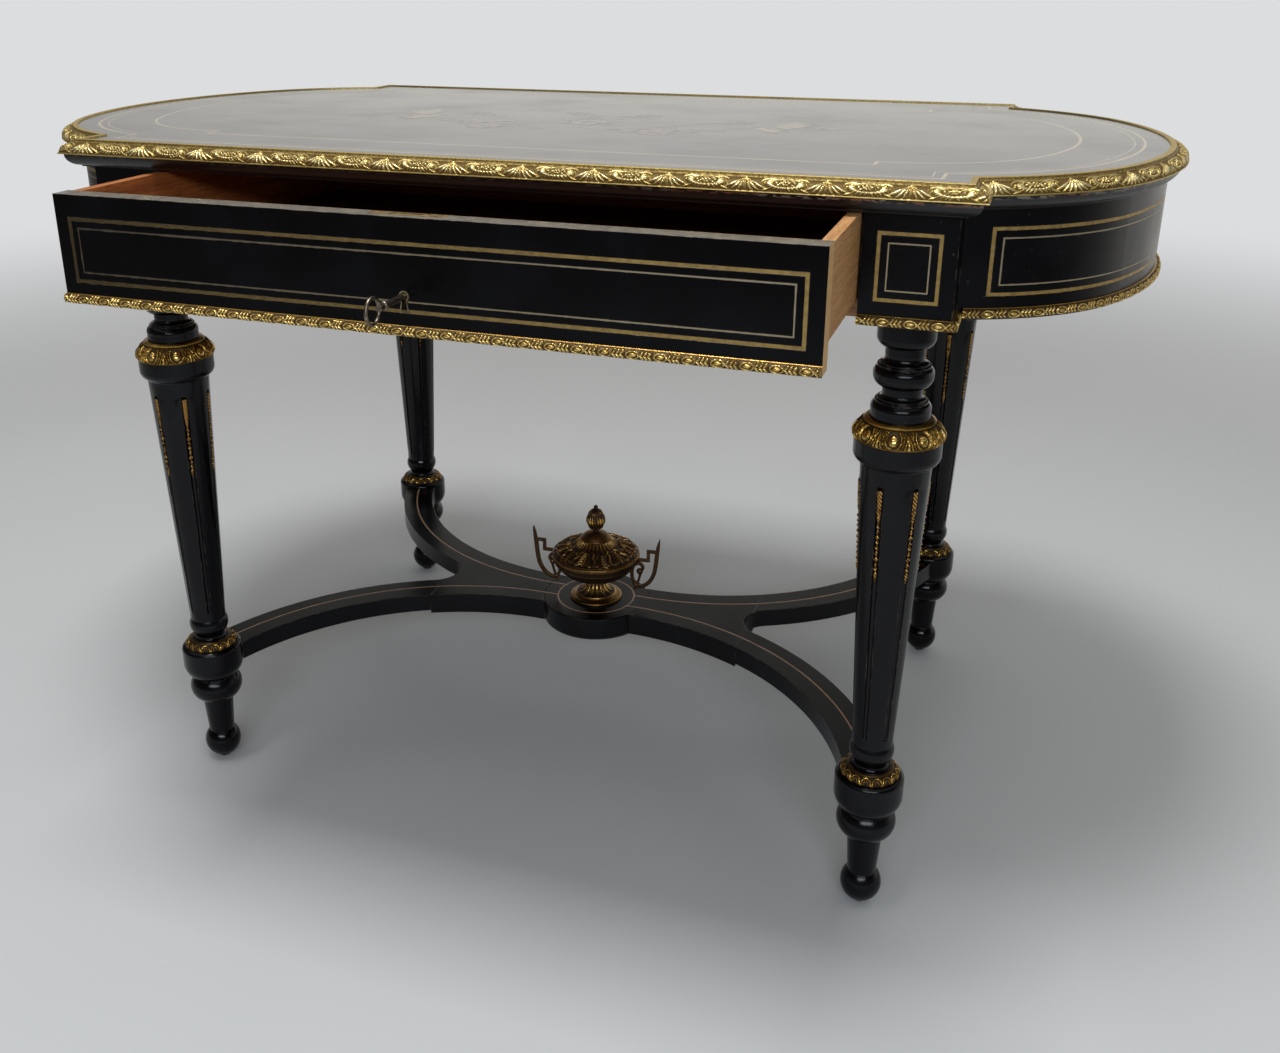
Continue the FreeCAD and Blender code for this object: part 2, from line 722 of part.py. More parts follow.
line_low = STRETCH_TOP - LINE_DEPTH
half_line = STRETCH_LINE_W / 2
line_near = ARM_LINE - half_line
line_far = ARM_LINE + half_line
line_edges = [
    arc_on_arm(line_near, 0, ARM_SWEEP, line_low),
    arc_on_arm(line_far, 0, ARM_SWEEP, line_low),
    Part.makeLine(on_arm(line_near, ARM_SWEEP, line_low), on_arm(line_far, ARM_SWEEP, line_low)),
    Part.makeLine(V(0, ARM_CY - line_near, line_low), V(ARM_CX, ARM_CY - line_near, line_low)),
    Part.makeLine(V(0, ARM_CY - line_far, line_low), V(ARM_CX, ARM_CY - line_far, line_low)),
    Part.makeLine(V(0, ARM_CY - line_near, line_low), V(0, ARM_CY - line_far, line_low)),
]
circle_out = rod(CIRCLE_R + half_line, V(0, 0, line_low), V(0, 0, STRETCH_TOP))
circle_in = rod(CIRCLE_R - half_line, V(0, 0, line_low), V(0, 0, STRETCH_TOP))
arm_line = cut(slab(line_edges, line_low, STRETCH_TOP), circle_out, drum_bore)
stretch_lines = [circle_out.cut(circle_in)]
stretch_lines += [flipped(arm_line, *corner) for corner in CORNERS.values()]
nodes["stretcher_inlay"] = Part.makeCompound(stretch_lines)
for name, (side_x, side_y) in CORNERS.items():
    nodes["stretcher_arm_" + name] = cut(flipped(arm, side_x, side_y), *stretch_lines)
for name, side in SIDES.items():
    nodes["stretcher_fork_" + name] = cut(flipped(fork, side), *stretch_lines)
nodes["stretcher_platform"] = cut(platform, *stretch_lines)

# Gilt urn: foot, bowl and lid are hollow castings on a tie rod, which the finial screws on to

rod_bore = ROD_R + GAP
nodes["urn_foot"] = turned(
    [
        (rod_bore, 150.0),
        (32.0, 150.0),
        (32.8, 151.4, 32.0, 152.8),
        (29.4, 154.0),
        (26.0, 154.6, 23.6, 157.2),
        (14.0, 162.4, 10.4, 172.0),
        (9.6, 173.2),
        (11.8, 175.4, 9.6, 177.6),
        (9.6, 178.4),
        (rod_bore, 178.4),
    ]
)
bowl_outside = [
    (rod_bore, 178.4),
    (13.0, 178.4),
    (43.0, 188.0, 54.4, 205.2),
    (RIM_R, 206.2),
    (RIM_R, 210.2),
    (54.2, 211.2),
]
bowl_inside = [(51.6, 211.2), (51.6, 207.8), (40.0, 191.0, 13.0, 182.4), (rod_bore, 182.4)]
nodes["urn_bowl"] = turned(bowl_outside + bowl_inside)
nodes["urn_lid"] = turned(
    [
        (50.4, 211.2),
        (53.4, 211.2),
        (53.4, 212.6),
        (37.0, 222.4, 18.0, 228.6),
        (17.4, 229.4),
        (19.0, 230.2),
        (19.2, 231.4),
        (18.0, 232.2),
        (12.4, 237.2, 5.2, 240.0),
        (rod_bore, 240.0),
        (rod_bore, 236.6),
        (9.0, 234.0, 13.6, 229.8),
        (14.6, 226.2),
        (35.0, 220.0, 50.4, 211.2),
    ]
)
nodes["urn_finial"] = turned(
    [
        (rod_bore, 240.0),
        (4.2, 240.0),
        (3.4, 241.5, 4.4, 243.2),
        (10.4, 248.0, 11.8, 255.4),
        (9.8, 264.0, 5.6, 269.4),
        (2.2, 270.4),
        (2.6, 272.6, 1.2, 274.6),
        (0.0, 274.6),
        (0.0, 250.0),
        (rod_bore, 250.0),
    ]
)
nut = Part.makeCylinder(5.5, 4.0, V(0, 0, PLATFORM_LOW - 4.0))
tie = rod(ROD_R, V(0, 0, PLATFORM_LOW - 6.0), V(0, 0, 249.8))
nodes["urn_rod"] = Part.makeCompound([tie, nut.cut(tie)])


def strip(line, half_depth):
    """Flat strap in the XZ plane: (x, z, half width) stations along its middle."""
    sides = ([], [])
    for index, (x, z, half) in enumerate(line):
        before = line[max(index - 1, 0)]
        after = line[min(index + 1, len(line) - 1)]
        way = V(after[0] - before[0], 0, after[1] - before[1]).normalize()
        across = V(-way.z, 0, way.x) * half
        sides[0].append(V(x, -half_depth, z) + across)
        sides[1].append(V(x, -half_depth, z) - across)
    ring = sides[0] + sides[1][::-1]
    return Part.Face(Part.makePolygon(ring + ring[:1])).extrude(V(0, 2 * half_depth, 0))


handle_spike = [
    (82.0, 237.5, 0.5),
    (79.8, 226.0, 1.7),
    (77.8, 205.0, 2.1),
    (75.0, 188.0, 2.1),
    (68.5, 176.0, 2.1),
    (60.0, 170.2, 2.0),
    (51.0, 169.0, 1.9),
]
handle_scroll = [
    (52.0, 168.0, 1.8),
    (49.5, 178.0, 1.8),
    (47.8, 188.0, 1.8),
    (49.0, 196.0, 1.8),
    (53.0, 200.4, 1.8),
    (58.4, 200.4, 1.8),
    (61.2, 196.6, 1.8),
    (59.6, 192.6, 2.2),
]
handle_key = [
    box(66.0, 79.0, -2.2, 2.2, 217.6, 221.0),
    box(66.0, 69.4, -2.2, 2.2, 205.0, 221.0),
    box(RIM_R - 2.0, 69.4, -2.2, 2.2, 205.0, 208.4),
]
handle_bead = Part.makeSphere(2.6, V(51.6, 0, 165.0))
straps = [strip(line, HANDLE_W / 2) for line in (handle_spike, handle_scroll)]
handle = fuse(straps + [handle_bead] + handle_key)
bowl_core = turned(bowl_outside + [(rod_bore, bowl_outside[-1][1])])
handle = handle.cut(bowl_core)
handles = Part.makeCompound([flipped(handle, side) for side in SIDES.values()])
handles.rotate(ORIGIN, UP, HANDLE_TURN)
nodes["urn_handles"] = handles

# Drawer, drawn where it stands open

face = -FACE_Y - DRAWER_OPEN
front_back = face + BOARD
rear = face + DRAWER_LENGTH
lock_y = front_back - LOCK_DEEP
bolt_y = front_back - LOCK_DEEP / 2


def keyhole(radius, slot_half, slot_low, y0, y1):
    """Round hole with a slot below it, along Y."""
    hole = rod(radius, V(0, y0, KEY_Z), V(0, y1, KEY_Z))
    return hole.fuse(box(-slot_half, slot_half, y0, y1, KEY_Z - slot_low, KEY_Z))


LINER = 1.4
LINER_DEEP = 4.0
hole_r = SHANK_R + 0.5
slot_half = 1.9
slot_low = BIT_R + 0.6
drawer_frames = string_frames(PANEL_STRING_HALF, DRAWER_STRING_LOW, DRAWER_STRING_TOP, face, 0.0)
through = keyhole(hole_r, slot_half, slot_low, face, lock_y)
liner_out = keyhole(hole_r + LINER, slot_half + LINER, slot_low + LINER, face, face + LINER_DEEP)
drawer_frames = [frame.cut(liner_out) for frame in drawer_frames]
nodes["drawer_stringing"] = Part.makeCompound(drawer_frames)
nodes["escutcheon"] = liner_out.cut(through)

lock_body = box(-LOCK_HALF, LOCK_HALF, lock_y, front_back, LOCK_LOW, DRAWER_TOP)
lock_plate = box(-PLATE_HALF, PLATE_HALF, lock_y, front_back, DRAWER_TOP - 2.5, DRAWER_TOP)
lock_block = lock_body.fuse(lock_plate)
front_board = box(-DRAWER_HALF, DRAWER_HALF, face, front_back, DRAWER_LOW, DRAWER_TOP)
bottom = box(-DRAWER_HALF + 5.5, DRAWER_HALF - 5.5, front_back - 6, rear, BOTTOM_LOW, BOTTOM_TOP)
bottom_notch = box(-LOCK_HALF - 6, LOCK_HALF + 6, front_back - 6, front_back, BOTTOM_LOW, BOTTOM_TOP)
bottom = bottom.cut(bottom_notch)
nodes["drawer_front"] = cut(front_board, lock_block, through, liner_out, bottom, *drawer_frames)
nodes["drawer_bottom"] = bottom
side_board = box(DRAWER_HALF - SIDE_W - 0.5, DRAWER_HALF - 0.5, front_back, rear, SIDE_LOW, SIDE_TOP)
for name, side in SIDES.items():
    nodes["drawer_side_" + name] = flipped(side_board, side).cut(bottom)
inside = DRAWER_HALF - SIDE_W - 0.5
nodes["drawer_back"] = box(-inside, inside, rear - SIDE_W, rear, BOTTOM_TOP, SIDE_TOP - 4)
drawer_strip = box(-DRAWER_HALF, DRAWER_HALF, face - STRIP_PROUD, face, STRIP_LOW, STRIP_TOP)
drawer_strip.translate(-UP * DRAWER_STRIP_FALL)
nodes["drawer_strip"] = drawer_strip

# Lock: a case with its plate let into the drawer front, a bolt that rises through the plate, and the key

SLACK = 0.3
bolt_top = DRAWER_TOP - SLACK
bit_room = rod(BIT_R + 1.2, V(0, lock_y + 1, KEY_Z), V(0, front_back - 1, KEY_Z))
bolt_half_y = BOLT_W / 2
bolt_way = box(
    -BOLT_HALF - SLACK,
    BOLT_HALF + SLACK,
    bolt_y - bolt_half_y - SLACK,
    bolt_y + bolt_half_y + SLACK,
    KEY_Z,
    DRAWER_TOP,
)
lock_mouth = keyhole(hole_r, slot_half, slot_low, lock_y, lock_y + 1)
nodes["lock_case"] = cut(lock_block, bit_room, bolt_way, lock_mouth)
nodes["lock_bolt"] = box(
    -BOLT_HALF, BOLT_HALF, bolt_y - bolt_half_y, bolt_y + bolt_half_y, BOLT_LOW, bolt_top
)

bow_y = face - KEY_OUT
shank_end = bow_y + BOW_R
shank = rod(SHANK_R, V(0, shank_end - 1.0, KEY_Z), V(0, front_back - 2.0, KEY_Z))
shank_collar = rod(4.2, V(0, shank_end + 6.0, KEY_Z), V(0, shank_end + 9.0, KEY_Z))
bit = box(-1.4, 1.4, lock_y + 2.5, front_back - 2.5, KEY_Z - BIT_R, KEY_Z)
ring_bow = Part.makeTorus(BOW_R, BOW_WIRE, V(0, bow_y, KEY_Z), V(1, 0, 0))
nodes["key"] = fuse([shank, shank_collar, bit, ring_bow])

os.makedirs("parts", exist_ok=True)
for name, shape in nodes.items():
    shape.exportStep("parts/" + name + ".step")
    print(name, shape.isValid(), len(shape.Solids), round(shape.Volume / 1000.0, 2), "cm3")
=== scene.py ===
import math

import bpy
import numpy as np
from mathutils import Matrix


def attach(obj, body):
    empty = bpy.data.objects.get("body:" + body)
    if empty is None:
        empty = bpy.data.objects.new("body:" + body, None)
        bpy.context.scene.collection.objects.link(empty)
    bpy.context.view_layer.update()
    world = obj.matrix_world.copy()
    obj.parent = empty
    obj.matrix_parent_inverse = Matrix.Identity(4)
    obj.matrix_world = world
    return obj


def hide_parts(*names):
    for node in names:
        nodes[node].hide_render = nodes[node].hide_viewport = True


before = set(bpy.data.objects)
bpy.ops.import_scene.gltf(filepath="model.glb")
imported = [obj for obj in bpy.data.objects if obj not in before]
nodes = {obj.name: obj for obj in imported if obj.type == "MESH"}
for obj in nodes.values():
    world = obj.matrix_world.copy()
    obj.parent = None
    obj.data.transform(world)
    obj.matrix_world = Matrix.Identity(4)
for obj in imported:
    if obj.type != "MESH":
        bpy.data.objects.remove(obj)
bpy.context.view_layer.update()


# Carcass: four square corner blocks, two bowed friezes and a fixed back panel, of close-grained wood stained
# black and French polished. Oak rails, runners and stops behind them hold it together and carry the drawer.

def linear(colour):
    """An sRGB hex colour as the linear numbers that a shader takes."""
    parts = [int(colour[at:at + 2], 16) / 255 for at in (1, 3, 5)]
    return [p / 12.92 if p <= 0.04045 else ((p + 0.055) / 1.055) ** 2.4 for p in parts] + [1.0]


def node_adder(tree):
    """Gives the function that adds a node to a tree. Its sockets are given in order, or by name with _ for a
    space, and its settings in small letters. Every mix is of two colours, and a hex colour turns linear."""
    def add(kind, *in_order, give=None, **named):
        node = tree.nodes.new("ShaderNode" + kind)
        if kind == "Mix":
            node.data_type = "RGBA"
        for name, value in named.items():
            if name[0].islower():
                setattr(node, name, value)
        shown = [socket for socket in node.inputs if socket.enabled]
        by_name = {socket.name.replace(" ", "_"): socket for socket in shown}
        sockets = [(by_name[name], value) for name, value in named.items() if name[0].isupper()]
        for socket, value in [*zip(shown, in_order), *sockets]:
            if isinstance(value, bpy.types.NodeSocket):
                tree.links.new(value, socket)
            else:
                socket.default_value = linear(value) if isinstance(value, str) else value
        outputs = [socket for socket in node.outputs if socket.enabled]
        return node.outputs[give] if give else outputs[0] if outputs else None

    return add


def drawn_finish(draw):
    """Has a function that draws nodes make a named finish. It is given what adds nodes and the points of the
    piece in metres, and gives back the sockets of the usual shader, or a surface of its own."""
    def make(name, *values, **named):
        finish = bpy.data.materials.new(name)
        finish.use_nodes = True
        finish.node_tree.nodes.clear()
        add = node_adder(finish.node_tree)
        drawn = draw(add, add("TexCoord", give="Object"), *values, **named)
        add("OutputMaterial", add("BsdfPrincipled", **drawn) if isinstance(drawn, dict) else drawn)
        return finish

    return make


def dress(finish, *names):
    """Puts a finish on pieces of the frame."""
    for name in names:
        nodes[name].data.materials.clear()
        nodes[name].data.materials.append(finish)


def per_metre(*sizes_mm):
    """How often a pattern of one size, or of sizes along X, Y and Z, repeats in a metre."""
    repeats = [1000 / size for size in sizes_mm]
    return repeats if len(repeats) > 1 else repeats[0]


@drawn_finish
def ebonised(add, place, grain_mm, roughness, ior):
    """Black-stained wood under waxed shellac: deep blue-black with a soft satin sheen, a faint cloudy bloom,
    a few pale specks, and greyish brown wood showing in spots where sharp edges have rubbed through."""
    along = add("Mapping", place, Scale=per_metre(*grain_mm))
    grain = add("TexNoise", along, Scale=1.0, Detail=4.0)
    bloom = add("TexNoise", place, Scale=per_metre(70), Detail=5.0)
    rub = add("TexNoise", place, Scale=per_metre(9), Detail=6.0)
    rounded = add("Bevel", Radius=0.0014, samples=4)
    flat = add("NewGeometry", give="Normal")
    turn = add("VectorMath", rounded, flat, operation="DOT_PRODUCT")
    edge = add("MapRange", turn, 0.96, 0.82)
    patch = add("MapRange", rub, 0.5, 0.6, To_Max=0.9)
    worn = add("Math", edge, patch, operation="MULTIPLY")
    hazy = add("MapRange", bloom, 0.45, 0.75)
    black = add("Mix", hazy, "#010104", "#08090e")
    dust = add("TexNoise", place, Scale=per_metre(3.5), Detail=3.0)
    specks = add("MapRange", dust, 0.7, 0.78, To_Max=0.3)
    dust_and_sheen = add("Mix", specks, black, "#6a6e76")
    colour = add("Mix", worn, dust_and_sheen, "#6b5d52")
    polish = add("MapRange", bloom, 0.3, 0.7, To_Min=roughness - 0.04, To_Max=roughness + 0.05)
    pores = add("Bump", Strength=0.12, Distance=0.00005, Height=grain, Normal=rounded)
    return dict(Base_Color=colour, Roughness=polish, Normal=pores, IOR=ior)


@drawn_finish
def oak(add, place, grain_mm, light, dark, pore):
    """Planed oak: warm tan bands along the grain, crossed by short dark dashes where the pores are cut."""
    along = add("Mapping", place, Scale=per_metre(*grain_mm))
    bands = add("TexNoise", along, Scale=0.35, Detail=5.0, Distortion=0.4)
    dashes = add("TexNoise", along, Scale=2.0, Detail=2.0)
    pored = add("MapRange", dashes, 0.57, 0.68, To_Max=0.75)
    warm = add("MapRange", bands, 0.3, 0.7)
    wood = add("Mix", warm, light, dark)
    colour = add("Mix", pored, wood, pore)
    cut = add("Bump", Strength=0.6, Distance=0.0001, Height=dashes, invert=True)
    return dict(Base_Color=colour, Roughness=0.58, Normal=cut, IOR=1.5)


CORNERS = [end + side for end in ("front_", "back_") for side in ("left", "right")]
black_boards = ebonised("ebonised_wood_polished_boards", (45, 45, 1.1), roughness=0.28, ior=1.28)
dress(black_boards, "back_frieze", "end_frieze_left", "end_frieze_right",
      *["corner_block_" + corner for corner in CORNERS])
RAIL_OAK = "#a87b4c", "#8a5f36", "#4d321b"
dress(oak("oak_planed_rails", (1.6, 40, 1.6), *RAIL_OAK), "side_rail_left", "side_rail_right",
      "drawer_runner_left", "drawer_runner_right", "drawer_stops", "glue_blocks")
dress(oak("oak_planed_crosswise", (40, 1.6, 1.6), *RAIL_OAK), "front_rail")


# Stringing: broad brass bands with a fine paler line inside them, rolled flat, let into the frieze panels and
# rubbed down level with the polish.

@drawn_finish
def stringing(add, place, middle_x, half_x, middle_z, half_z, dark_x=-2.0):
    """Old inlaid brass: matt gold-brown with darker rubbed spots. The fine line, which lies within half_x and
    half_z of the panel's middle (in metres), has gone a greyer beige. Painted shade darkens it from a given x
    towards the left."""
    x, z = (add("SeparateXYZ", place, give=axis) for axis in "XZ")
    side = add("Math", x, operation="ABSOLUTE")
    inside = []
    for value, middle, half in ((side, middle_x, half_x), (z, middle_z, half_z)):
        inside.append(add("Math", value, middle, half, operation="COMPARE"))
    fine = add("Math", inside[0], inside[1], operation="MULTIPLY")
    spots = add("TexNoise", place, Scale=per_metre(5), Detail=5.0)
    rubbed = add("MapRange", spots, 0.35, 0.75)
    brass = add("Mix", rubbed, "#a88c50", "#80663a")
    lines = add("Mix", fine, brass, "#9c8d72")
    # painted shade: towards the left end the lines are mixed into a near-black brown
    painted_shade_left = add("MapRange", x, dark_x, dark_x + 0.55, To_Min=0.85, To_Max=0.0)
    colour = add("Mix", painted_shade_left, lines, "#1a150e")
    matt = add("MapRange", spots, To_Min=0.34, To_Max=0.62)
    return dict(Base_Color=colour, Metallic=0.6, Roughness=matt)


PANEL_Z, PANEL_HALF_Z, PANEL_HALF_X = 0.66875, 0.0207, 0.3236
dress(stringing("brass_stringing_blocks", 0.386, 0.0178, PANEL_Z, PANEL_HALF_Z), "block_stringing")
dress(stringing("brass_stringing_back", 0.0, PANEL_HALF_X, PANEL_Z, PANEL_HALF_Z), "back_stringing")
dress(stringing("brass_stringing_ends", 0.55, 0.0945, PANEL_Z, PANEL_HALF_Z), "end_stringing")


# Lower strips: half-round brass castings pinned along the bottom of the frieze, with a running pattern of
# framed ovals between rows of small leaves, gilded and burnished. They are mitred at the corners of the blocks.

def ridge(points, widths, heights):
    """A rounded ridge of a casting along a line of points; widths (half) and heights change along it."""
    points = np.asarray(points, float)
    runs = np.hypot(*np.diff(points, axis=0).T)
    reached = np.concatenate([[0.0], np.cumsum(runs)]) / runs.sum()
    stops = [np.linspace(0, 1, len(values)) for values in (widths, heights)]

    def height(u, v):
        highest = np.zeros_like(u)
        for at in range(len(runs)):
            start, way = points[at], points[at + 1] - points[at]
            share = np.clip(((u - start[0]) * way[0] + (v - start[1]) * way[1]) / (way @ way), 0, 1)
            gone = np.hypot(u - start[0] - share * way[0], v - start[1] - share * way[1])
            along = reached[at] + share * (reached[at + 1] - reached[at])
            half = np.interp(along, stops[0], widths)
            round_top = np.sqrt(np.clip(1 - (gone / half) ** 2, 0, 1))
            highest = np.maximum(highest, np.interp(along, stops[1], heights) * round_top)
        return highest

    return height


def dome(centre, radii, height):
    """A rounded boss of a casting."""
    def raised(u, v):
        away = ((u - centre[0]) / radii[0]) ** 2 + ((v - centre[1]) / radii[1]) ** 2
        return height * np.sqrt(np.clip(1 - away, 0, 1))

    return raised


def full_turn(count):
    """Angles round a full turn."""
    return np.linspace(0, math.tau, count, endpoint=False)


def compass(turn):
    """Vectors of length 1 that point along angles."""
    return np.stack([np.cos(turn), np.sin(turn)], axis=-1)


def oval(centre, radii, start=0, end=360, count=28):
    """Points along an oval between two angles, in degrees."""
    return np.array(centre) + np.array(radii) * compass(np.radians(np.linspace(start, end, count)))


def both(form):
    """A form and its mirror image."""
    return lambda u, v: np.maximum(form(u, v), form(-u, v))


def moved(way, forms):
    """Forms that are drawn round a middle of their own, moved along the repeat."""
    return [lambda u, v, form=form: form(u - way, v) for form in forms]


PATTERN_CELL, SHARP_ANGLE = 0.22, math.radians(48)


def pattern(length, height, forms):
    """One repeat of a cast pattern: a fine grid on which the highest form shows. Gives a function of the way
    along the piece and the way up its section."""
    count = round(length / PATTERN_CELL)
    cell = length / count
    u, v = np.meshgrid(np.arange(count) * cell, np.arange(0, height + cell, cell))
    drawn = np.zeros_like(u)
    for form in forms:
        for shift in (-length, 0, length):
            drawn = np.maximum(drawn, form(u + shift, v))

    def height_at(along, up):
        x = np.mod(np.asarray(along, float) / cell, count)
        y = np.clip(np.asarray(up, float) / cell, 0, len(drawn) - 1.001)
        left, low = np.floor(x).astype(int) % count, np.floor(y).astype(int)
        fx, fy = x - np.floor(x), y - low
        lower, upper = (drawn[row, left] * (1 - fx) + drawn[row, (left + 1) % count] * fx
                        for row in (low, low + 1))
        return lower * (1 - fy) + upper * fy

    return height_at


def drawn_line(steps, pitch):
    """Points along a section of straight steps and arcs (four numbers: a point on the arc, then its end)."""
    points = [np.array(steps[0], float)]
    for step in steps[1:]:
        here, there = points[-1], np.array(step[-2:], float)
        if len(step) == 2:
            points.append(there)
            continue
        through = np.array(step[:2], float)
        rows = 2 * np.array([through - here, there - here])
        centre = np.linalg.solve(rows, [through @ through - here @ here, there @ there - here @ here])
        angles = [math.atan2(*(p - centre)[::-1]) for p in (here, through, there)]
        middle, last = ((angle - angles[0]) % math.tau for angle in angles[1:])
        sweep = last if middle < last else last - math.tau
        radius = np.linalg.norm(here - centre)
        count = max(2, round(abs(sweep) * radius / pitch))
        turn = angles[0] + sweep * np.arange(1, count + 1) / count
        points += list(centre + radius * compass(turn))
    return np.array(points)


def lengths_along(points):
    return np.concatenate([[0.0], np.cumsum(np.hypot(*np.diff(points, axis=0).T))])


def outward(points):
    """Unit normals to the right of a line's way."""
    way = np.gradient(points, axis=0)
    way /= np.linalg.norm(way, axis=1)[:, None]
    return np.stack([way[:, 1], -way[:, 0]], axis=1)


def banded(below, band, above):
    """A section in three lengths, and the slice of its points in the middle one, which takes the pattern."""
    return np.concatenate([below, band, above]), slice(len(below), len(below) + len(band))


def stand(name, data):
    """Puts a new object into the scene."""
    thing = bpy.data.objects.new(name, data)
    bpy.context.scene.collection.objects.link(thing)
    return thing


def cast_piece(name, finish, shells, joined=False):
    """One piece of closed shells. A shell is a grid of points, a closed loop round the section for each
    station, with a mark from 0 in the hollows to 1 on the heights. Its ends are capped, or joined in a ring."""
    corners, faces, marks, first = [], [], [], 0
    for grid, heights in shells:
        stations, loop = grid.shape[:2]
        ids = first + np.arange(stations * loop).reshape(stations, loop)
        onward = np.roll(ids, -1, axis=0) if joined else ids[1:]
        from_ids = ids if joined else ids[:-1]
        quads = np.stack([from_ids, onward, np.roll(onward, -1, axis=1), np.roll(from_ids, -1, axis=1)], axis=2)
        quads = quads.reshape(-1, 4)
        flat = grid.reshape(-1, 3)
        a, b, c, d = (flat[quads[:, at] - first] - flat.mean(0) for at in range(4))
        turned_in = (np.cross(a, b) * c).sum() + (np.cross(a, c) * d).sum() < 0
        caps = [] if joined else [ids[0].tolist(), ids[-1][::-1].tolist()]
        if turned_in:
            quads, caps = quads[:, ::-1], [cap[::-1] for cap in caps]
        faces += quads.tolist() + caps
        corners.append(flat)
        marks.append(np.broadcast_to(heights, (stations, loop)).ravel())
        first += stations * loop
    mesh = bpy.data.meshes.new(name)
    mesh.from_pydata(np.concatenate(corners) / 1000, [], faces)
    relief = mesh.attributes.new("relief", "FLOAT", "POINT")
    relief.data.foreach_set("value", np.concatenate(marks).astype(np.float32))
    mesh.shade_smooth()
    mesh.set_sharp_from_angle(angle=SHARP_ANGLE)
    mesh.materials.append(finish)
    return stand(name, mesh)


def fit(piece, body, node):
    """Has a piece move with a body and stand for a node of the frame, which it hides."""
    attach(piece, body)
    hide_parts(node)


@drawn_finish
def gilt(add, place, bright, middle, hollow, smooth, tarnish, cloud_mm=22):
    """Gilded cast brass: burnished yellow on the heights, duller and browner in the hollows, from old dirt and
    from painted shade in the recesses, and cloudy tarnish between."""
    relief = add("Attribute", attribute_name="relief", give="Fac")
    specks = add("TexNoise", place, Scale=per_metre(2.2), Detail=4.0)
    clouds = add("TexNoise", place, Scale=per_metre(cloud_mm), Detail=4.0)
    rubbed = add("MapRange", specks, 0.2, 0.8, To_Min=-0.2, To_Max=0.2)
    level = add("Math", relief, rubbed, operation="ADD")
    low = add("MapRange", level, 0.05, 0.5)
    high = add("MapRange", level, 0.5, 0.95)
    dim = add("MapRange", clouds, 0.5, 0.7, To_Max=tarnish)
    # the hollow colour on the low relief is partly old dirt and partly painted shade in the recesses
    body = add("Mix", low, hollow, middle)
    lit = add("Mix", high, body, bright)
    colour = add("Mix", dim, lit, hollow)
    metal = add("MapRange", level, From_Max=0.4, To_Min=0.55)
    dull = add("MapRange", level, To_Min=smooth + 0.28, To_Max=smooth)
    pits = add("Bump", Strength=0.35, Distance=0.0002, Height=specks)
    return dict(Base_Color=colour, Metallic=metal, Roughness=dull, Normal=pits)


def lifted(section, band, raised, base_mark):
    """How far out and how high each point of a section comes at each station, with its band raised by a
    pattern, and its marks: the base mark, and on the band from 0 in the hollows to 1 on the heights."""
    heights, marks = np.zeros((2, len(raised), len(section)))
    heights[:, band] = raised
    marks[:] = base_mark
    marks[:, band] = raised / max(raised.max(), 1e-6)
    out, rise = (section[:, at] + outward(section)[:, at] * heights for at in (0, 1))
    return out, rise, marks


QUIET_REACH, MITRE_EASE = 1.4, 20.0


def moulding(spots, ways, along, section, band, tile, base_mark, quiet=()):
    """Shell of a moulding swept along plan spots. ways are the outward mitre vectors, band the slice of section
    points that takes the pattern tile(along, up), and quiet the stations at which a mitre cuts through it."""
    tangents = np.gradient(spots, axis=0)
    lean = (ways * tangents).sum(1) / np.linalg.norm(tangents, axis=1)
    raised = tile(along[:, None] + lean[:, None] * section[band, 0], lengths_along(section[band]))
    for at in quiet:
        raised = raised * np.clip(np.abs(along - at) / QUIET_REACH, 0, 1)[:, None]
    out, rise, marks = lifted(section, band, raised, base_mark)
    grid = np.concatenate([spots[:, None, :] + ways[:, None, :] * out[..., None], rise[..., None]], axis=2)
    return grid, marks


def straight_run(corners, mitres, pitch):
    """Spots, outward vectors and lengths along straight lengths between plan corners. The vectors stand square
    to the run and turn into the mitres over its last MITRE_EASE."""
    spots, ways, along, done = [], [], [], 0.0
    corners, mitres = np.array(corners, float), np.array(mitres, float)
    for start, end, way_in, way_out in zip(corners, corners[1:], mitres, mitres[1:]):
        size = np.linalg.norm(end - start)
        share = np.linspace(0, 1, max(2, round(size / pitch) + 1))[1 if spots else 0:, None]
        onward, turning = (end - start) / size, min(MITRE_EASE, size / 2)
        square = way_in - (way_in @ onward) * onward
        ease_in, ease_out = (np.clip(1 - size * gone / turning, 0, 1) for gone in (share, 1 - share))
        spots.append(start + (end - start) * share)
        ways.append(square + ease_in * (way_in - square) + ease_out * (way_out - square))
        along.append(done + size * share[:, 0])
        done += size
    return np.concatenate(spots), np.concatenate(ways), np.concatenate(along)


def mirrored(shell, side_x, side_y):
    """A shell's copy on another side of the table."""
    return shell[0] * (side_x, side_y, 1.0), shell[1]


BOW_TIP_X, BOW_TIP_R, BOW_SHOULDER_R, BOW_TURN = 592.0, 386.0, 224.0, math.radians(26.2)
bow_tip = np.array([BOW_TIP_X - BOW_TIP_R, 0.0])
bow_shoulder = bow_tip + (BOW_TIP_R - BOW_SHOULDER_R) * compass(BOW_TURN)


def bow_depth(x, offset):
    """Half depth of the bowed end of the top, with its outline moved out by an offset, at the plane x."""
    middle_x, middle_y = np.round(bow_shoulder, 2)
    return middle_y + math.sqrt((BOW_SHOULDER_R + offset) ** 2 - (x - middle_x) ** 2)


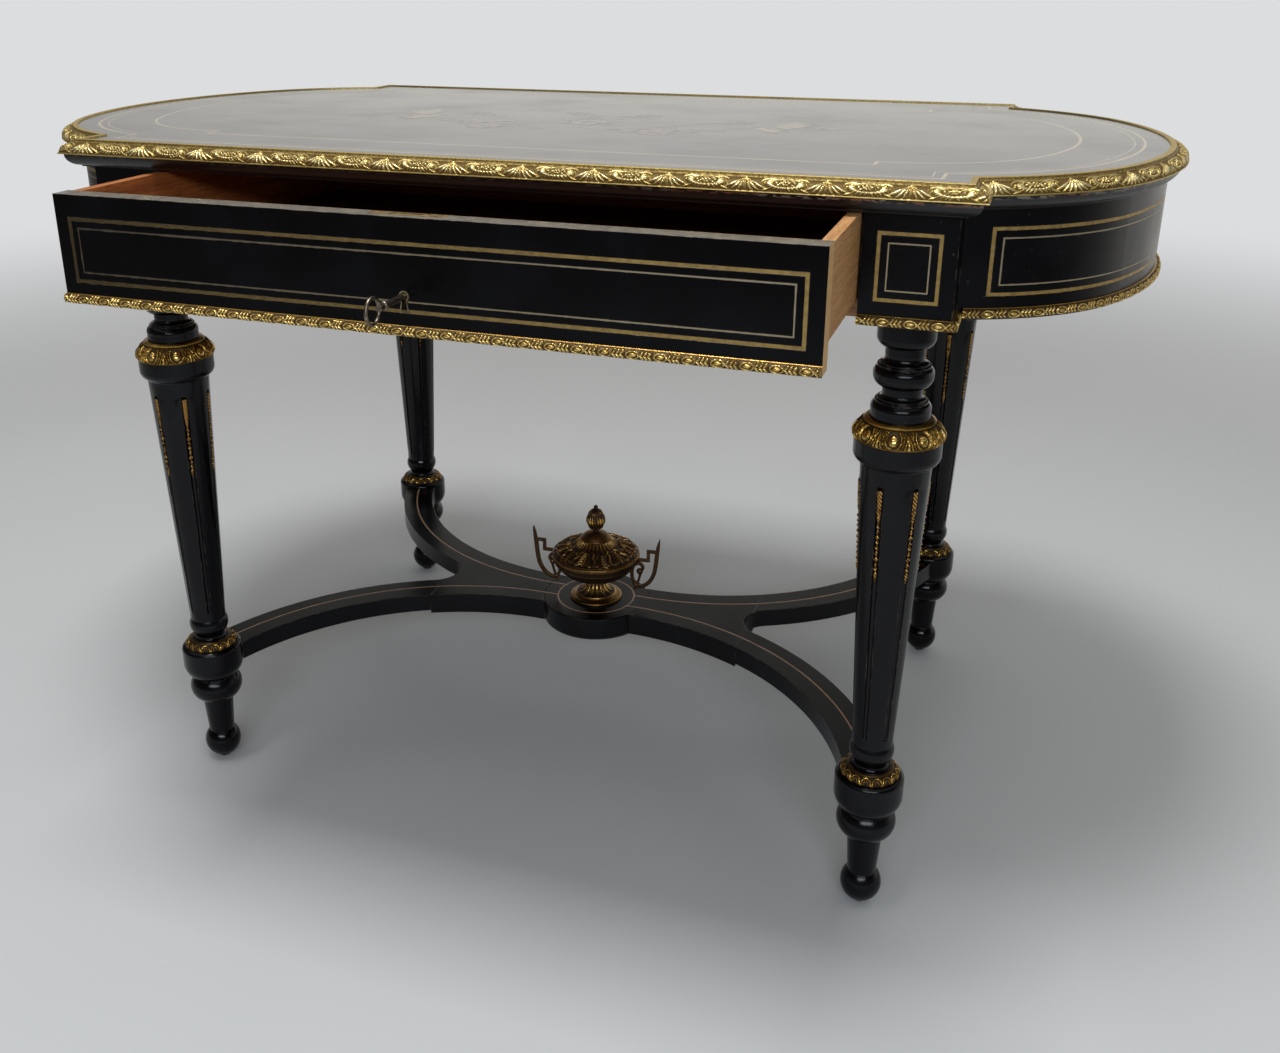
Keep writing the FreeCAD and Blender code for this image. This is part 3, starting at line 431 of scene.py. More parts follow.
def bow_run(offset, shift, start_x, end_way, pitch):
    """Spots, ways and lengths round the right bowed end, from the front to the back, at an offset from the
    top's outline. end_way turns its cut ends; lengths are counted from the tip."""
    tip_r, shoulder_r = BOW_TIP_R + offset, BOW_SHOULDER_R + offset
    last_turn = math.acos((start_x - shift - bow_shoulder[0]) / shoulder_r)
    tip_size = tip_r * BOW_TURN
    half = tip_size + shoulder_r * (last_turn - BOW_TURN)
    along = np.linspace(-half, half, 2 * round(half / pitch) + 1)
    gone = np.abs(along)
    on_tip = gone <= tip_size
    ways = compass(np.where(on_tip, gone / tip_r, BOW_TURN + (gone - tip_size) / shoulder_r))
    centre = np.where(on_tip[:, None], bow_tip, bow_shoulder)
    spots = centre + np.where(on_tip, tip_r, shoulder_r)[:, None] * ways + np.array([shift, 0.0])
    ease = np.clip(1 - (half - gone) / MITRE_EASE, 0, 1)[:, None]
    ways = ways * (1 - ease) + np.array(end_way) * ease
    side = np.stack([np.ones(len(along)), np.where(along < 0, -1.0, 1.0)], axis=1)
    return spots * side, ways * side, along


strip_gilt = gilt("gilt_brass_yellow", "#f6e29a", "#b8924a", "#4a3414", smooth=0.24, tarnish=0.3)
STRIP_REPEAT, STRIP_PITCH, STRIP_PROUD = 22.7, 0.8, 5.5
strip_face = drawn_line([(1.5, 618.7), (4.6, 622.7, 1.6, 626.6)], 0.42)
strip_section, strip_band = banded([(0, 618.2), (1.2, 618.2)], strip_face,
                                   [(1.3, 627.0), (0.9, 627.3), (0, 627.3)])
strip_middle = lengths_along(strip_face)[-1] / 2
strip_forms = [
    ridge(oval((0, strip_middle), (5.0, 2.9)), (0.7,), (1.1,)),
    dome((0, strip_middle), (3.4, 1.6), 1.0),
]
for leaf_foot in (6.2, 9.5, 12.8):    # in life five leaves, finer
    for flip in (1, -1):
        bent = [(leaf_foot + u, strip_middle + flip * v) for u, v in ((0.0, 0.2), (1.8, 2.0), (2.7, 4.6))]
        strip_forms.append(ridge(bent, (0.6, 0.95, 0.6), (1.0, 1.3, 0.8)))
strip_tile = pattern(STRIP_REPEAT, 2 * strip_middle, strip_forms)


def strip_shell(run, phase, quiet=(), rise=0.0):
    """A strip along a run, with its pattern moved by a phase and the whole strip by a rise."""
    spots, ways, along = run
    grid, marks = moulding(spots, ways, along + phase, strip_section, strip_band, strip_tile, 0.5,
                           [at + phase for at in quiet])
    return grid + np.array([0.0, 0.0, rise]), marks


FRIEZE_IN, FRIEZE_OUT_X = -18.0, 20.0    # the frieze is the top's outline drawn in, its ends then set apart
BLOCK_IN_X, BLOCK_X, BLOCK_Y = 347.0, 425.0, 310.0
strip_join_x = BLOCK_X + STRIP_PROUD
join_inner, join_outer = (bow_depth(x - FRIEZE_OUT_X, FRIEZE_IN) for x in (BLOCK_X, strip_join_x))
block_run = straight_run([(BLOCK_IN_X, BLOCK_Y), (BLOCK_X, BLOCK_Y), (BLOCK_X, join_inner)],
                         [(0, 1), (1, 1), (1, (join_outer - join_inner) / STRIP_PROUD)], STRIP_PITCH)
block_shell = strip_shell(block_run, 0.4, quiet=(BLOCK_X - BLOCK_IN_X,))
END_CUT = 0.0, 1.044    # the end strips are cut off in the plane of the block strips' faces
end_run = bow_run(FRIEZE_IN, FRIEZE_OUT_X, strip_join_x, END_CUT, STRIP_PITCH)
end_shell = strip_shell(end_run, 0.0, rise=2.0)
back_run = straight_run([(-BLOCK_IN_X, BLOCK_Y), (BLOCK_IN_X, BLOCK_Y)], [(0, 1), (0, 1)], STRIP_PITCH)
for name, shells, node in (
        ("gilt_strips_of_blocks", [mirrored(block_shell, x, y) for x in (1, -1) for y in (1, -1)],
         "block_strips"),
        ("gilt_strips_of_ends", [mirrored(end_shell, x, 1) for x in (1, -1)], "end_strips"),
        ("gilt_strip_of_back", [strip_shell(back_run, 0.0)], "back_strip")):
    fit(cast_piece(name, strip_gilt, shells), "carcass", node)


# Legs: turned from the same black wood, tapered and fluted, with a tenon glued into each corner block. Small
# iron glides are driven into the ball feet.

black_turnings = ebonised("ebonised_wood_polished_turnings", (1.3, 1.3, 40), roughness=0.18, ior=1.31)
dress(black_turnings, *["leg_" + corner for corner in CORNERS])
leg_spots = [(x, y) for y in (-271.0, 271.0) for x in (-386.0, 386.0)]


@drawn_finish
def aged_metal(add, place, colour, stain, spot_mm, stained, rough, metal=1.0, detail=6.0, pits=0.0):
    """Metal that has aged in spots: its colour goes over to a stain, its gloss changes there, and if it was
    forged it is pitted."""
    spots = add("TexNoise", place, Scale=per_metre(spot_mm), Detail=detail)
    shade = add("Mix", add("MapRange", spots, *stained), colour, stain)
    matt = add("MapRange", spots, To_Min=rough[0], To_Max=rough[1])
    sockets = dict(Base_Color=shade, Metallic=metal, Roughness=matt)
    if pits:
        sockets["Normal"] = add("Bump", Strength=pits, Distance=0.0002, Height=spots)
    return sockets


forged_iron = aged_metal("iron_forged_dark", "#4a4744", "#33241a", 4, (0.45, 0.7), rough=(0.38, 0.65),
                         metal=0.9, pits=0.3)    # dull dark grey, mottled brown with a little rust
dress(forged_iron, "foot_glides", "urn_rod")


# Collars and lower rings of the legs: cast and gilded rings slid on to the turnings, the collars with nine
# framed eggs and ribbed leaves between, the small rings with sixteen arches.

def turned_shell(centre, section, band, tile, tile_mm, repeats, counts, base_mark):
    """Shell of a turned casting: section points (radius, height) round an upright axis. Its pattern, of tiles
    that are tile_mm long where they were drawn, goes round from the front over the band of section points."""
    angles = full_turn(counts)
    turn = (angles + math.pi / 2) * repeats / math.tau
    raised = tile(turn[:, None] * tile_mm, lengths_along(section[band]))
    radius, rise, marks = (part.T for part in lifted(section, band, raised, base_mark))
    grid = np.stack([centre[0] + radius * np.cos(angles), centre[1] + radius * np.sin(angles), rise], axis=2)
    return grid, marks


collar_gilt = gilt("gilt_brass_browned_collars", "#ecca78", "#93702d", "#38280f", smooth=0.2, tarnish=0.35)
COLLAR_EGGS, COLLAR_REPEAT = 9, 27.6
collar_section, collar_band = banded(
    drawn_line([(26.7, 508.0), (39.2, 508.0), (39.9, 508.5, 39.5, 509.0)], 0.5),
    drawn_line([(39.4, 509.2), (40.0, 513.0, 37.7, 517.2), (34.8, 521.2, 31.4, 523.7)], 0.55),
    [(31.8, 524.3), (31.9, 525.8), (29.4, 527.6), (26.7, 527.6)])
collar_tile = pattern(COLLAR_REPEAT, 18.0, [
    dome((0, 8.0), (4.5, 5.6), 2.1),
    both(ridge([(4.8, 16.6), (7.2, 11.8), (7.0, 6.4), (4.4, 1.8), (1.2, 0.5)], (0.9, 1.0, 1.0, 0.9, 0.7),
               (1.2, 1.6, 1.6, 1.5, 1.1))),
    both(ridge([(7.8, 16.8), (9.7, 10.6), (9.0, 4.8), (6.4, 0.7)], (0.7, 0.8, 0.8, 0.6), (0.9, 1.1, 1.2, 1.0))),
    *moved(COLLAR_REPEAT / 2, [
        ridge([(0, 15.6), (0, 8.0), (0, 1.0)], (0.5, 1.0, 1.5), (0.8, 1.3, 1.9)),
        both(ridge([(0.6, 12.0), (2.2, 6.0), (3.6, 0.9)], (0.5, 0.8, 1.0), (0.8, 1.2, 1.6))),
        both(ridge([(1.4, 16.2), (3.2, 11.2), (4.4, 7.0)], (0.5, 0.7, 0.4), (0.7, 1.0, 0.6))),
    ]),
])
collar_base = np.where(collar_section[:, 1] < 511, 0.45, 0.6)
collar_shells = [turned_shell(spot, collar_section, collar_band, collar_tile, COLLAR_REPEAT, COLLAR_EGGS,
                              counts=360, base_mark=collar_base) for spot in leg_spots]
collars = cast_piece("gilt_collars_of_legs", collar_gilt, collar_shells, joined=True)
fit(collars, "carcass", "leg_collars")

ring_gilt = gilt("gilt_brass_darkened_rings", "#d4a852", "#6c5024", "#22180b", smooth=0.22, tarnish=0.6)
RING_EGGS, RING_REPEAT = 16, 10.4
ring_section = drawn_line([(20.6, 155.0), (28.4, 155.0), (27.0, 159.4, 23.4, 162.2), (23.2, 163.2),
                           (22.6, 163.8), (20.6, 163.8)], 0.55)
ring_band = slice(1, len(ring_section) - 3)
ring_tile = pattern(RING_REPEAT, 10.0, [
    ridge(oval((0, 3.2), (4.3, 5.0), -25, 205), (0.7,), (1.0,)),
    ridge(oval((0, 2.2), (1.9, 3.4), -10, 190), (0.55,), (0.8,)),
    ridge([(RING_REPEAT / 2, 0.3), (RING_REPEAT / 2, 3.4)], (0.7, 0.4), (0.9, 0.5)),
])
ring_shells = [turned_shell(spot, ring_section, ring_band, ring_tile, RING_REPEAT, RING_EGGS, counts=288,
                            base_mark=0.3) for spot in leg_spots]
rings = cast_piece("gilt_rings_of_legs", ring_gilt, ring_shells, joined=True)
fit(rings, "carcass", "leg_rings")


# Flute drops: thin brass castings pinned in the tops of the flutes, a reeded bar over a chain of husks that
# ends in a point. Their gilding is patchy, rubbed and darkened.

drop_gilt = gilt("gilt_brass_rubbed_drops", "#d4a45a", "#80592a", "#140d07", smooth=0.3, tarnish=1.0,
                 cloud_mm=6)
DROP_LOW, DROP_HIGH, DROP_BACK = 374.0, 466.0, 1.2
DROP_BAR = 69.2    # the reeded bar starts here, over the husks
SHAFT_LOW, SHAFT_LENGTH, SHAFT_LOW_R, SHAFT_TAPER = 192.0, 292.0, 19.8, 12.3
FLUTES, FIRST_FLUTE, BACK_RIGHT_TURN = 6, -46.0, 20.7    # that leg was set turned
husk_spots = ((13.6, 2.0), (18.8, 1.5), (24.4, 2.2), (30.0, 1.5), (35.4, 2.1), (41.0, 1.7), (46.4, 2.0),
              (51.8, 1.3), (56.6, 1.7))
drop_outline = [(0.0, 0.1, 0.1), (4.0, 1.2, 0.8), (8.5, 1.7, 1.0)]
for at, half in husk_spots:
    drop_outline += [(at - 2.6, 0.35, 0.05), (at - 0.9, half, 1.2), (at + 0.8, 0.8 * half, 1.0),
                     (at + 2.0, 0.35, 0.05)]
drop_outline = np.array(drop_outline + [(59.4, 0.6, 0.2), (61.6, 0.8, 0.5), (65.5, 1.8, 1.0), (68.2, 1.4, 0.5),
                                        (DROP_BAR, 2.2, 1.0), (92.1, 2.4, 1.0)])
drop_step = np.linspace(0, drop_outline[-1, 0], 190)[:, None]
drop_half, drop_rise = (np.interp(drop_step, drop_outline[:, 0], drop_outline[:, at]) for at in (1, 2))
drop_across, drop_deep = compass(full_turn(18)).T
across = drop_half * drop_across
reeds = 0.3 * np.sin(math.tau * (drop_step + 1.2 * across) / 3.8)    # in life half as wide
husks = 0.4 * np.sin(math.tau * (drop_step / 3.1 + across / 3.4))
drop_relief = np.where(drop_step > DROP_BAR, reeds, husks) * np.minimum(drop_rise, 1.0)
deep = drop_deep * np.where(drop_deep > 0, drop_rise + drop_relief, DROP_BACK)
drop_marks = np.clip(0.5 + 1.9 * drop_relief + 0.15 * drop_deep, 0, 1)


def drop_shell(leg, angle):
    """One drop, laid along the sloping shaft of a leg at an angle round it."""
    low_r, high_r = (SHAFT_LOW_R + SHAFT_TAPER * (z - SHAFT_LOW) / SHAFT_LENGTH for z in (DROP_LOW, DROP_HIGH))
    slope = np.array([high_r - low_r, DROP_HIGH - DROP_LOW]) / drop_outline[-1, 0]
    radius = low_r + slope[0] * drop_step + deep
    rise = DROP_LOW + slope[1] * drop_step - slope[0] * deep
    plan = np.array(leg) + radius[..., None] * compass(angle) + across[..., None] * compass(angle + math.pi / 2)
    return np.concatenate([plan, rise[..., None]], axis=2), drop_marks


drop_shells = []
for corner, spot in zip(CORNERS, leg_spots):
    first = FIRST_FLUTE + (BACK_RIGHT_TURN if corner == "back_right" else 0.0)
    drop_shells += [drop_shell(spot, math.radians(first + 360.0 * count / FLUTES)) for count in range(FLUTES)]
fit(cast_piece("gilt_flute_drops", drop_gilt, drop_shells), "carcass", "flute_drops")


# Stretcher: four curved arms dowelled to the legs, on two forked boards tenoned into a round platform, black
# and polished like the frieze, with a thin copper-coloured line let into the top.

black_stretcher = ebonised("ebonised_wood_polished_stretcher", (28, 9, 1.4), roughness=0.24, ior=1.36)
dress(black_stretcher, "stretcher_platform", "stretcher_fork_left", "stretcher_fork_right",
      *["stretcher_arm_" + corner for corner in CORNERS])

copper_line = aged_metal("copper_line_stretcher", "#b58d6c", "#a88262", 14, (0.4, 0.65), rough=(0.35, 0.45),
                         metal=0.2, detail=5.0)    # copper, dulled and glossed by the polish over it
dress(copper_line, "stretcher_inlay")


# Urn: thin brass castings stacked on a tie rod, foot, bowl, lid and bud finial, chased with leaves and flutes.
# Its gilding has gone a deep brown gold, bright only on the rims and the flutes that are touched.

urn_gilt = gilt("gilt_brass_dark_patina", "#dcae58", "#765732", "#2a1c10", smooth=0.24, tarnish=0.5)


def urn_casting(part, section, band, tile, tile_mm, repeats, base_mark, counts=300):
    """Casts one turned piece of the urn, named for its part."""
    shell = turned_shell((0, 0), section, band, tile, tile_mm, repeats, counts, base_mark)
    fit(cast_piece("urn_" + part + "_cast", urn_gilt, [shell]), "carcass", "urn_" + part)


FOOT_REPEAT, FOOT_LEAVES = 8.0, 14
foot_section = banded(
    drawn_line([(32.0, 150.0), (32.8, 151.4, 32.0, 152.8), (29.4, 154.0), (26.0, 154.6, 23.6, 157.2)], 0.6),
    drawn_line([(23.6, 157.2), (14.0, 162.4, 10.2, 171.6)], 0.5)[1:],
    drawn_line([(10.2, 171.6), (9.6, 173.2), (11.8, 175.4, 9.6, 177.6), (9.6, 178.4)], 0.5)[1:])
foot_tile = pattern(FOOT_REPEAT, 22.0, [
    ridge([(0, 0.6), (0, 8.0), (0, 19.5)], (0.6, 2.6, 2.2), (0.5, 1.1, 0.7)),
    ridge([(4.0, 3.5), (4.0, 12.0)], (0.4, 1.1), (0.4, 0.6)),
])
urn_casting("foot", *foot_section, foot_tile, FOOT_REPEAT, FOOT_LEAVES, base_mark=0.55)

BOWL_REPEAT, BOWL_LEAVES = 11.0, 18
bowl_cup = drawn_line([(13.0, 178.4), (43.0, 188.0, 54.4, 205.2)], 0.6)
bowl_rim = drawn_line([(54.4, 205.2), (55.3, 206.2), (55.3, 210.2), (54.2, 211.2)], 0.6)[1:]
bowl_tile = pattern(BOWL_REPEAT, 50.0, [
    ridge([(0, 0.5), (0, 12.0), (0, 23.0)], (2.4, 2.6, 0.5), (1.0, 0.9, 0.4)),
    ridge([(5.5, 8.0), (5.5, 28.0)], (1.0, 0.4), (0.6, 0.3)),
    ridge([(-5.5, 46.5), (5.5, 46.5)], (0.9,), (0.6,)),
])
urn_casting("bowl", *banded(bowl_cup[:0], bowl_cup, bowl_rim), bowl_tile, BOWL_REPEAT, BOWL_LEAVES,
            base_mark=0.48)

LID_REPEAT, LID_LEAVES, LID_FLUTES = 37.7, 6, 5
lid_section = banded(
    drawn_line([(53.4, 211.2), (53.4, 212.2)], 0.6),
    drawn_line([(53.0, 212.4), (40.6, 217.6, 28.6, 221.4), (22.4, 224.2, 18.0, 228.6)], 0.5),
    drawn_line([(18.0, 228.6), (17.6, 229.2), (18.6, 229.8), (19.1, 230.8), (18.6, 231.8), (17.8, 232.3),
                (13.6, 236.6, 5.2, 240.0)], 0.5)[1:])
lid_forms = [
    ridge([(0, 3.0), (0, 14.0), (0, 25.0)], (0.9, 1.2, 0.7), (1.9, 2.2, 1.4)),
    both(ridge([(5.4, 27.0), (9.4, 23.0), (8.6, 17.0), (11.4, 10.0), (9.8, 4.0)], (0.9, 1.3, 1.3, 1.3, 0.8),
               (1.5, 2.0, 2.0, 2.0, 1.4))),
    both(dome((13.6, 19.4), (2.4, 3.4), 1.5)),
    both(dome((6.4, 3.6), (2.4, 2.2), 1.5)),
    both(dome((13.4, 4.4), (2.4, 2.4), 1.4)),
]
small_leaf = [ridge([(0, 3.4), (0, 12.0), (0, 21.0)], (0.8, 1.0, 0.6), (1.6, 1.9, 1.2))]
for vein in range(5):
    foot_up, tip_up = 24.0 - 4.4 * vein, 19.6 - 4.4 * vein
    lid_forms.append(both(ridge([(0.6, foot_up), (3.4, foot_up - 1.4), (5.4 + 0.4 * vein, tip_up)],
                                (0.7, 0.9, 0.5), (1.5, 1.6, 0.8))))
    small_leaf.append(both(ridge([(0.5, foot_up - 4.0), (2.8, foot_up - 5.2), (4.6, tip_up - 3.6)],
                                 (0.6, 0.8, 0.4), (1.3, 1.4, 0.7))))
lid_forms += moved(LID_REPEAT / 2, small_leaf)
for flute in range(-3, 4):
    flute_u = flute * LID_REPEAT / LID_FLUTES
    lid_forms.append(ridge([(flute_u, 26.0), (flute_u, 32.0), (flute_u, 39.0)], (1.8, 2.6, 2.8),
                           (0.8, 1.8, 1.8)))
urn_casting("lid", *lid_section, pattern(LID_REPEAT, 40.0, lid_forms), LID_REPEAT, LID_LEAVES,
            base_mark=0.4, counts=420)

finial_line = drawn_line([(4.2, 240.0), (3.4, 241.5, 4.4, 243.2), (9.4, 248.2, 10.6, 255.4),
                          (8.7, 263.6, 4.8, 268.8), (2.2, 270.2), (2.6, 272.6, 1.2, 274.5)], 0.5)


def bud_scales(turn, up):
    """Overlapping leaves of the bud, in staggered rows that shrink towards its tip."""
    row = up / 13.0
    scale = np.abs(np.sin(math.pi * (turn * 5 + 0.5 * np.floor(row) + 0.012 * up))) ** 0.6
    tip = 1 - np.abs(2 * np.mod(row, 1.0) - 0.8)
    ribs = 0.3 * np.sin(math.tau * (turn * 20 + 0.02 * up))
    fade = np.clip((up - 4.0) / 3.0, 0, 1) * np.clip((35.0 - up) / 9, 0, 1)
    return 1.6 * np.clip(scale * tip + ribs, 0, 1) * fade


urn_casting("finial", finial_line, slice(0, len(finial_line)), bud_scales, tile_mm=1.0, repeats=1,
            base_mark=0.5, counts=168)


# Urn handles: two flat brass straps bent to a spike, a loop that ends in a ball and a stepped key bracket, each
# brazed together and riveted under the bowl's rim.

def eased(points, count):
    """A smooth line through points, count steps to each length."""
    points = np.asarray(points, float)
    ends = np.concatenate([2 * points[:1] - points[1:2], points, 2 * points[-1:] - points[-2:-1]])
    t = np.linspace(0, 1, count, endpoint=False)[:, None]
    lengths = []
    for a, b, c, d in zip(ends, ends[1:], ends[2:], ends[3:]):
        lengths.append(0.5 * (2 * b + (c - a) * t + (2 * a - 5 * b + 4 * c - d) * t ** 2
                              + (3 * b - a - 3 * c + d) * t ** 3))
    return np.concatenate(lengths + [points[-1:]])


def strap_shell(line, half_depth, sharp=4.0):
    """A strap in the plane y = 0 along (x, z, half width) stations, with rounded or square edges."""
    wide, thick = (np.sign(f) * np.abs(f) ** (2 / sharp) for f in compass(full_turn(16)).T)
    plan = line[:, None, :2] - outward(line[:, :2])[:, None, :] * (line[:, None, 2:] * wide[None, :, None])
    deep = np.broadcast_to(half_depth * thick, plan.shape[:2])
    return np.stack([plan[..., 0], deep, plan[..., 1]], axis=2), 0.45


def ball_shell(centre, radius):
    """A small ball that ends or joins straps."""
    tilt, turn = np.linspace(-1.45, 1.45, 13)[:, None], full_turn(20)
    around, rise = radius * np.cos(tilt), centre[1] + radius * np.sin(tilt)
    parts = centre[0] + around * np.cos(turn), around * np.sin(turn), rise
    return np.stack(np.broadcast_arrays(*parts), axis=2), 0.6


handle_brown = gilt("brass_straps_browned", "#94724a", "#573f2a", "#281a11", smooth=0.3, tarnish=0.5)
handle_spike = [(82.0, 237.2, 0.4), (80.4, 228.0, 2.0), (78.6, 214.0, 2.6), (77.4, 202.0, 2.6),
                (74.8, 188.0, 2.6), (68.5, 176.4, 2.6), (60.0, 170.4, 2.3), (51.6, 169.2, 1.9)]
handle_loop = [(52.0, 169.0, 1.9), (48.2, 178.0, 2.1), (46.8, 188.0, 2.2), (48.6, 196.8, 2.2),
               (53.6, 201.4, 2.2), (58.6, 200.4, 2.1), (61.0, 196.2, 2.0), (59.6, 192.4, 1.9)]
handle_stem = [(57.6, 190.4, 2.6), (57.0, 184.0, 1.6), (54.6, 175.6, 1.6), (52.0, 169.4, 1.8)]
handle_shells = [strap_shell(eased(line, 7), depth) for line, depth in
                 ((handle_spike, 2.4), (handle_loop, 2.2), (handle_stem, 1.6))]
key_bars = [[(78.8, 219.3), (66.0, 219.3)], [(67.7, 221.0), (67.7, 205.0)], [(69.4, 206.7), (54.0, 206.7)]]
handle_shells += [strap_shell(np.array([(*end, 1.9) for end in bar]), 2.1, sharp=9.0) for bar in key_bars]
handle_shells += [ball_shell(centre, radius) for centre, radius in
                  (((57.0, 190.8), 4.2), ((51.6, 166.6), 2.5), ((52.2, 171.0), 3.0))]
ahead, aside = compass(math.radians(4.5))    # the handles stand a little turned from the table's length
swing = np.array([[ahead, aside, 0], [-aside, ahead, 0], [0, 0, 1]])
handle_pairs = [mirrored(shell, x, 1) for x in (1, -1) for shell in handle_shells]
handles = cast_piece("urn_handles_cast", handle_brown, [(grid @ swing, marks) for grid, marks in handle_pairs])
fit(handles, "carcass", "urn_handles")


# Top: a veneered panel, black and polished to a mirror, on a moulded under-board glued to the carcass. Copper
# lines are let in flush: one parallel to the edge, and a stepped panel with bowed ends.

@drawn_finish
def chipped_board(add, place):
    """The under-board's black polish, chipped along its upper lip to wood that has gone grey, or is still red
    brown where the chip is new."""
    x, z = (add("SeparateXYZ", place, give=axis) for axis in "XZ")
    knocked = add("MapRange", x, 0.1, 0.28, To_Min=0.12)
    lip = add("MapRange", z, 0.7240, 0.7272, To_Max=knocked)
    stretched = add("Mapping", place, Scale=per_metre(9, 9, 3))
    flakes = add("TexNoise", stretched, Scale=1.0, Detail=5.0, Roughness=0.6)
    flaked = add("MapRange", flakes, 0.47, 0.54)
    chips = add("Math", lip, flaked, operation="MULTIPLY")
    ages = add("TexNoise", place, Scale=per_metre(60), Detail=2.0)
    older = add("MapRange", ages, 0.45, 0.6)
    bare = add("Mix", older, "#8c8379", "#83543a")
    colour = add("Mix", chips, "#07070b", bare)
    matt = add("MapRange", flakes, To_Min=0.24, To_Max=0.42)
    sunk = add("Bump", Strength=0.5, Distance=0.0003, Height=chips, invert=True)
    return dict(Base_Color=colour, Roughness=matt, Normal=sunk, IOR=1.52)


dress(chipped_board("ebonised_wood_chipped_lip"), "under_board")


@drawn_finish
def mirror_polish(add, place, dark, light):
    """Black veneer under many coats of shellac: nearly a mirror at a low angle, hazed by fine scratches that
    run with the grain and by cloudy rubbing marks."""
    along = add("Mapping", place, Scale=per_metre(120, 1.6, 1.6))
    scratches = add("TexNoise", along, Scale=1.0, Detail=5.0, Roughness=0.65)
    haze = add("TexNoise", place, Scale=per_metre(90), Detail=5.0)
    colour = add("Mix", haze, dark, light)
    cloudy = add("MapRange", haze, 0.3, 0.7, To_Min=-0.04, To_Max=0.05)
    streaky = add("MapRange", scratches, 0.35, 0.7, To_Min=0.1, To_Max=0.17)
    rough = add("Math", cloudy, streaky, operation="ADD")
    cuts = add("Bump", Strength=0.25, Distance=0.00004, Height=scratches)
    return dict(Base_Color=colour, Roughness=rough, Normal=cuts, IOR=1.5)


dress(mirror_polish("shellac_mirror_polish_black", "#0d0d10", "#191817"), "top_panel")
top_line = aged_metal("copper_line_top", "#94826a", "#88765e", 14, (0.4, 0.65), rough=(0.12, 0.22), metal=0.0,
                      detail=5.0)    # paler, and as glossy as the polish that fills the inlay level
dress(top_line, "top_inlay")


# Marquetry: a spray of leaves and small flowers in the middle of the top, cut from dyed veneers with a fret saw
# and glued in level with the black ground, under the same polish.

@drawn_finish
def veneer(add, place, light, dark):
    """Dyed veneer under shellac: muted colour with fine streaks along the cut leaf, as glossy as the ground."""
    along = add("Mapping", place, Scale=per_metre(14, 1.2, 1.2))
    streaks = add("TexNoise", along, Scale=1.0, Detail=4.0)
    colour = add("Mix", streaks, light, dark)
    rough = add("MapRange", streaks, To_Min=0.1, To_Max=0.2)
    return dict(Base_Color=colour, Roughness=rough, IOR=1.5)


VENEER_LOW, VENEER_TOP, VENEER_LAYER = 740.2, 740.73, 0.004


def veneer_piece(left, right, layer):
    """A flat piece of veneer between its two edges. Each layer lies a hair above the last, so that pieces which
    cross share no face."""
    top = VENEER_TOP + VENEER_LAYER * (layer % 16)
    loop = [np.concatenate([edge, np.full((len(edge), 1), z)], axis=1) for edge, z in
            ((right, top), (left, top), (left, VENEER_LOW), (right, VENEER_LOW))]
    return np.stack(loop, axis=1), 0.5


def veneer_leaf(start, angle, length, half, bend, layer):
    """A leaf cut from thin veneer, pointed at both ends, from its foot along an angle in degrees."""
    share = np.linspace(0, 1, 15)
    turn = math.radians(angle) + bend * (share - 0.5)
    steps = length / 14 * compass(turn)[:-1]
    middle = np.array(start) + np.concatenate([[[0, 0]], np.cumsum(steps, axis=0)])
    wide = np.maximum(half * np.sin(math.pi * share ** 0.8), 0.12)[:, None]
    side = compass(turn + math.pi / 2) * wide
    return veneer_piece(middle + side, middle - side, layer)


def flower(centre, size, petals, layer):
    """Petals set round an open middle, so that they do not meet there."""
    turns = [360 * at / petals + 10 for at in range(petals)]
    return [veneer_leaf(np.array(centre) + 0.25 * size * compass(math.radians(turn)), turn, 0.75 * size,
                        0.25 * size, 0.2, layer + at % 2) for at, turn in enumerate(turns)]


STEM_HALF = 1.0
stems, leaves, sprigs, petals = [], [], [], flower((0, -18), 26.0, 9, 12)
spray_stems = [
    [(3, -62), (60, -80), (118, -64), (168, -24), (205, 18), (238, 44)], [(206, 16), (246, 8), (272, 7)],
    [(40, -76), (88, -34), (116, 6), (156, 34)], [(4, -58), (22, -6), (14, 40), (40, 66)],
]
spray_flowers = ((96, -82, 22.0, 8), (124, -52, 17.0, 7), (44, 68, 15.0, 7), (158, 36, 16.0, 7))
for side in (1, -1):
    for count, points in enumerate(spray_stems):
        line = eased([(side * x, y) for x, y in points], 6)
        stem_side = STEM_HALF * outward(line)
        stems.append(veneer_piece(line - stem_side, line + stem_side, count))
        for at in range(3, len(line) - 1, 3):
            way = line[at + 1] - line[at]
            heading = math.degrees(math.atan2(way[1], way[0]))
            leaves.append(veneer_leaf(line[at], heading + 46, 22.0, 4.8, -0.5, 4 + at % 3))
            leaves.append(veneer_leaf(line[at], heading - 42, 18.0, 4.0, 0.5, 7 + at % 3))
    for at, tilt in enumerate((-64, -30, 2, 34, 70)):
        sprigs.append(veneer_leaf((side * 206, 22), 90 - side * (90 - tilt), 40.0, 6.4, 0.4 * side, 10 + at))
        sprigs.append(veneer_leaf((side * 196, -30), 90 - side * (60 + tilt), 30.0, 5.2, -0.4 * side, 10 + at))
    sprigs.append(veneer_leaf((side * 252, 7), 90 - side * 90, 32.0, 5.0, 0.0, 9))
    for x, y, size, count in spray_flowers:
        petals += flower((side * x, y), size, count, 12)
for name, shells, light, dark in (
        ("marquetry_stems", stems, "#3c3a2c", "#2c2a1f"), ("marquetry_leaves", leaves, "#46452f", "#343324"),
        ("marquetry_sprigs", sprigs, "#6a5e4c", "#51473a"),
        ("marquetry_flowers", petals, "#57433a", "#43322b")):
    inlay = cast_piece(name, veneer("dyed_veneer_" + name, light, dark), shells)
    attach(inlay, "carcass")


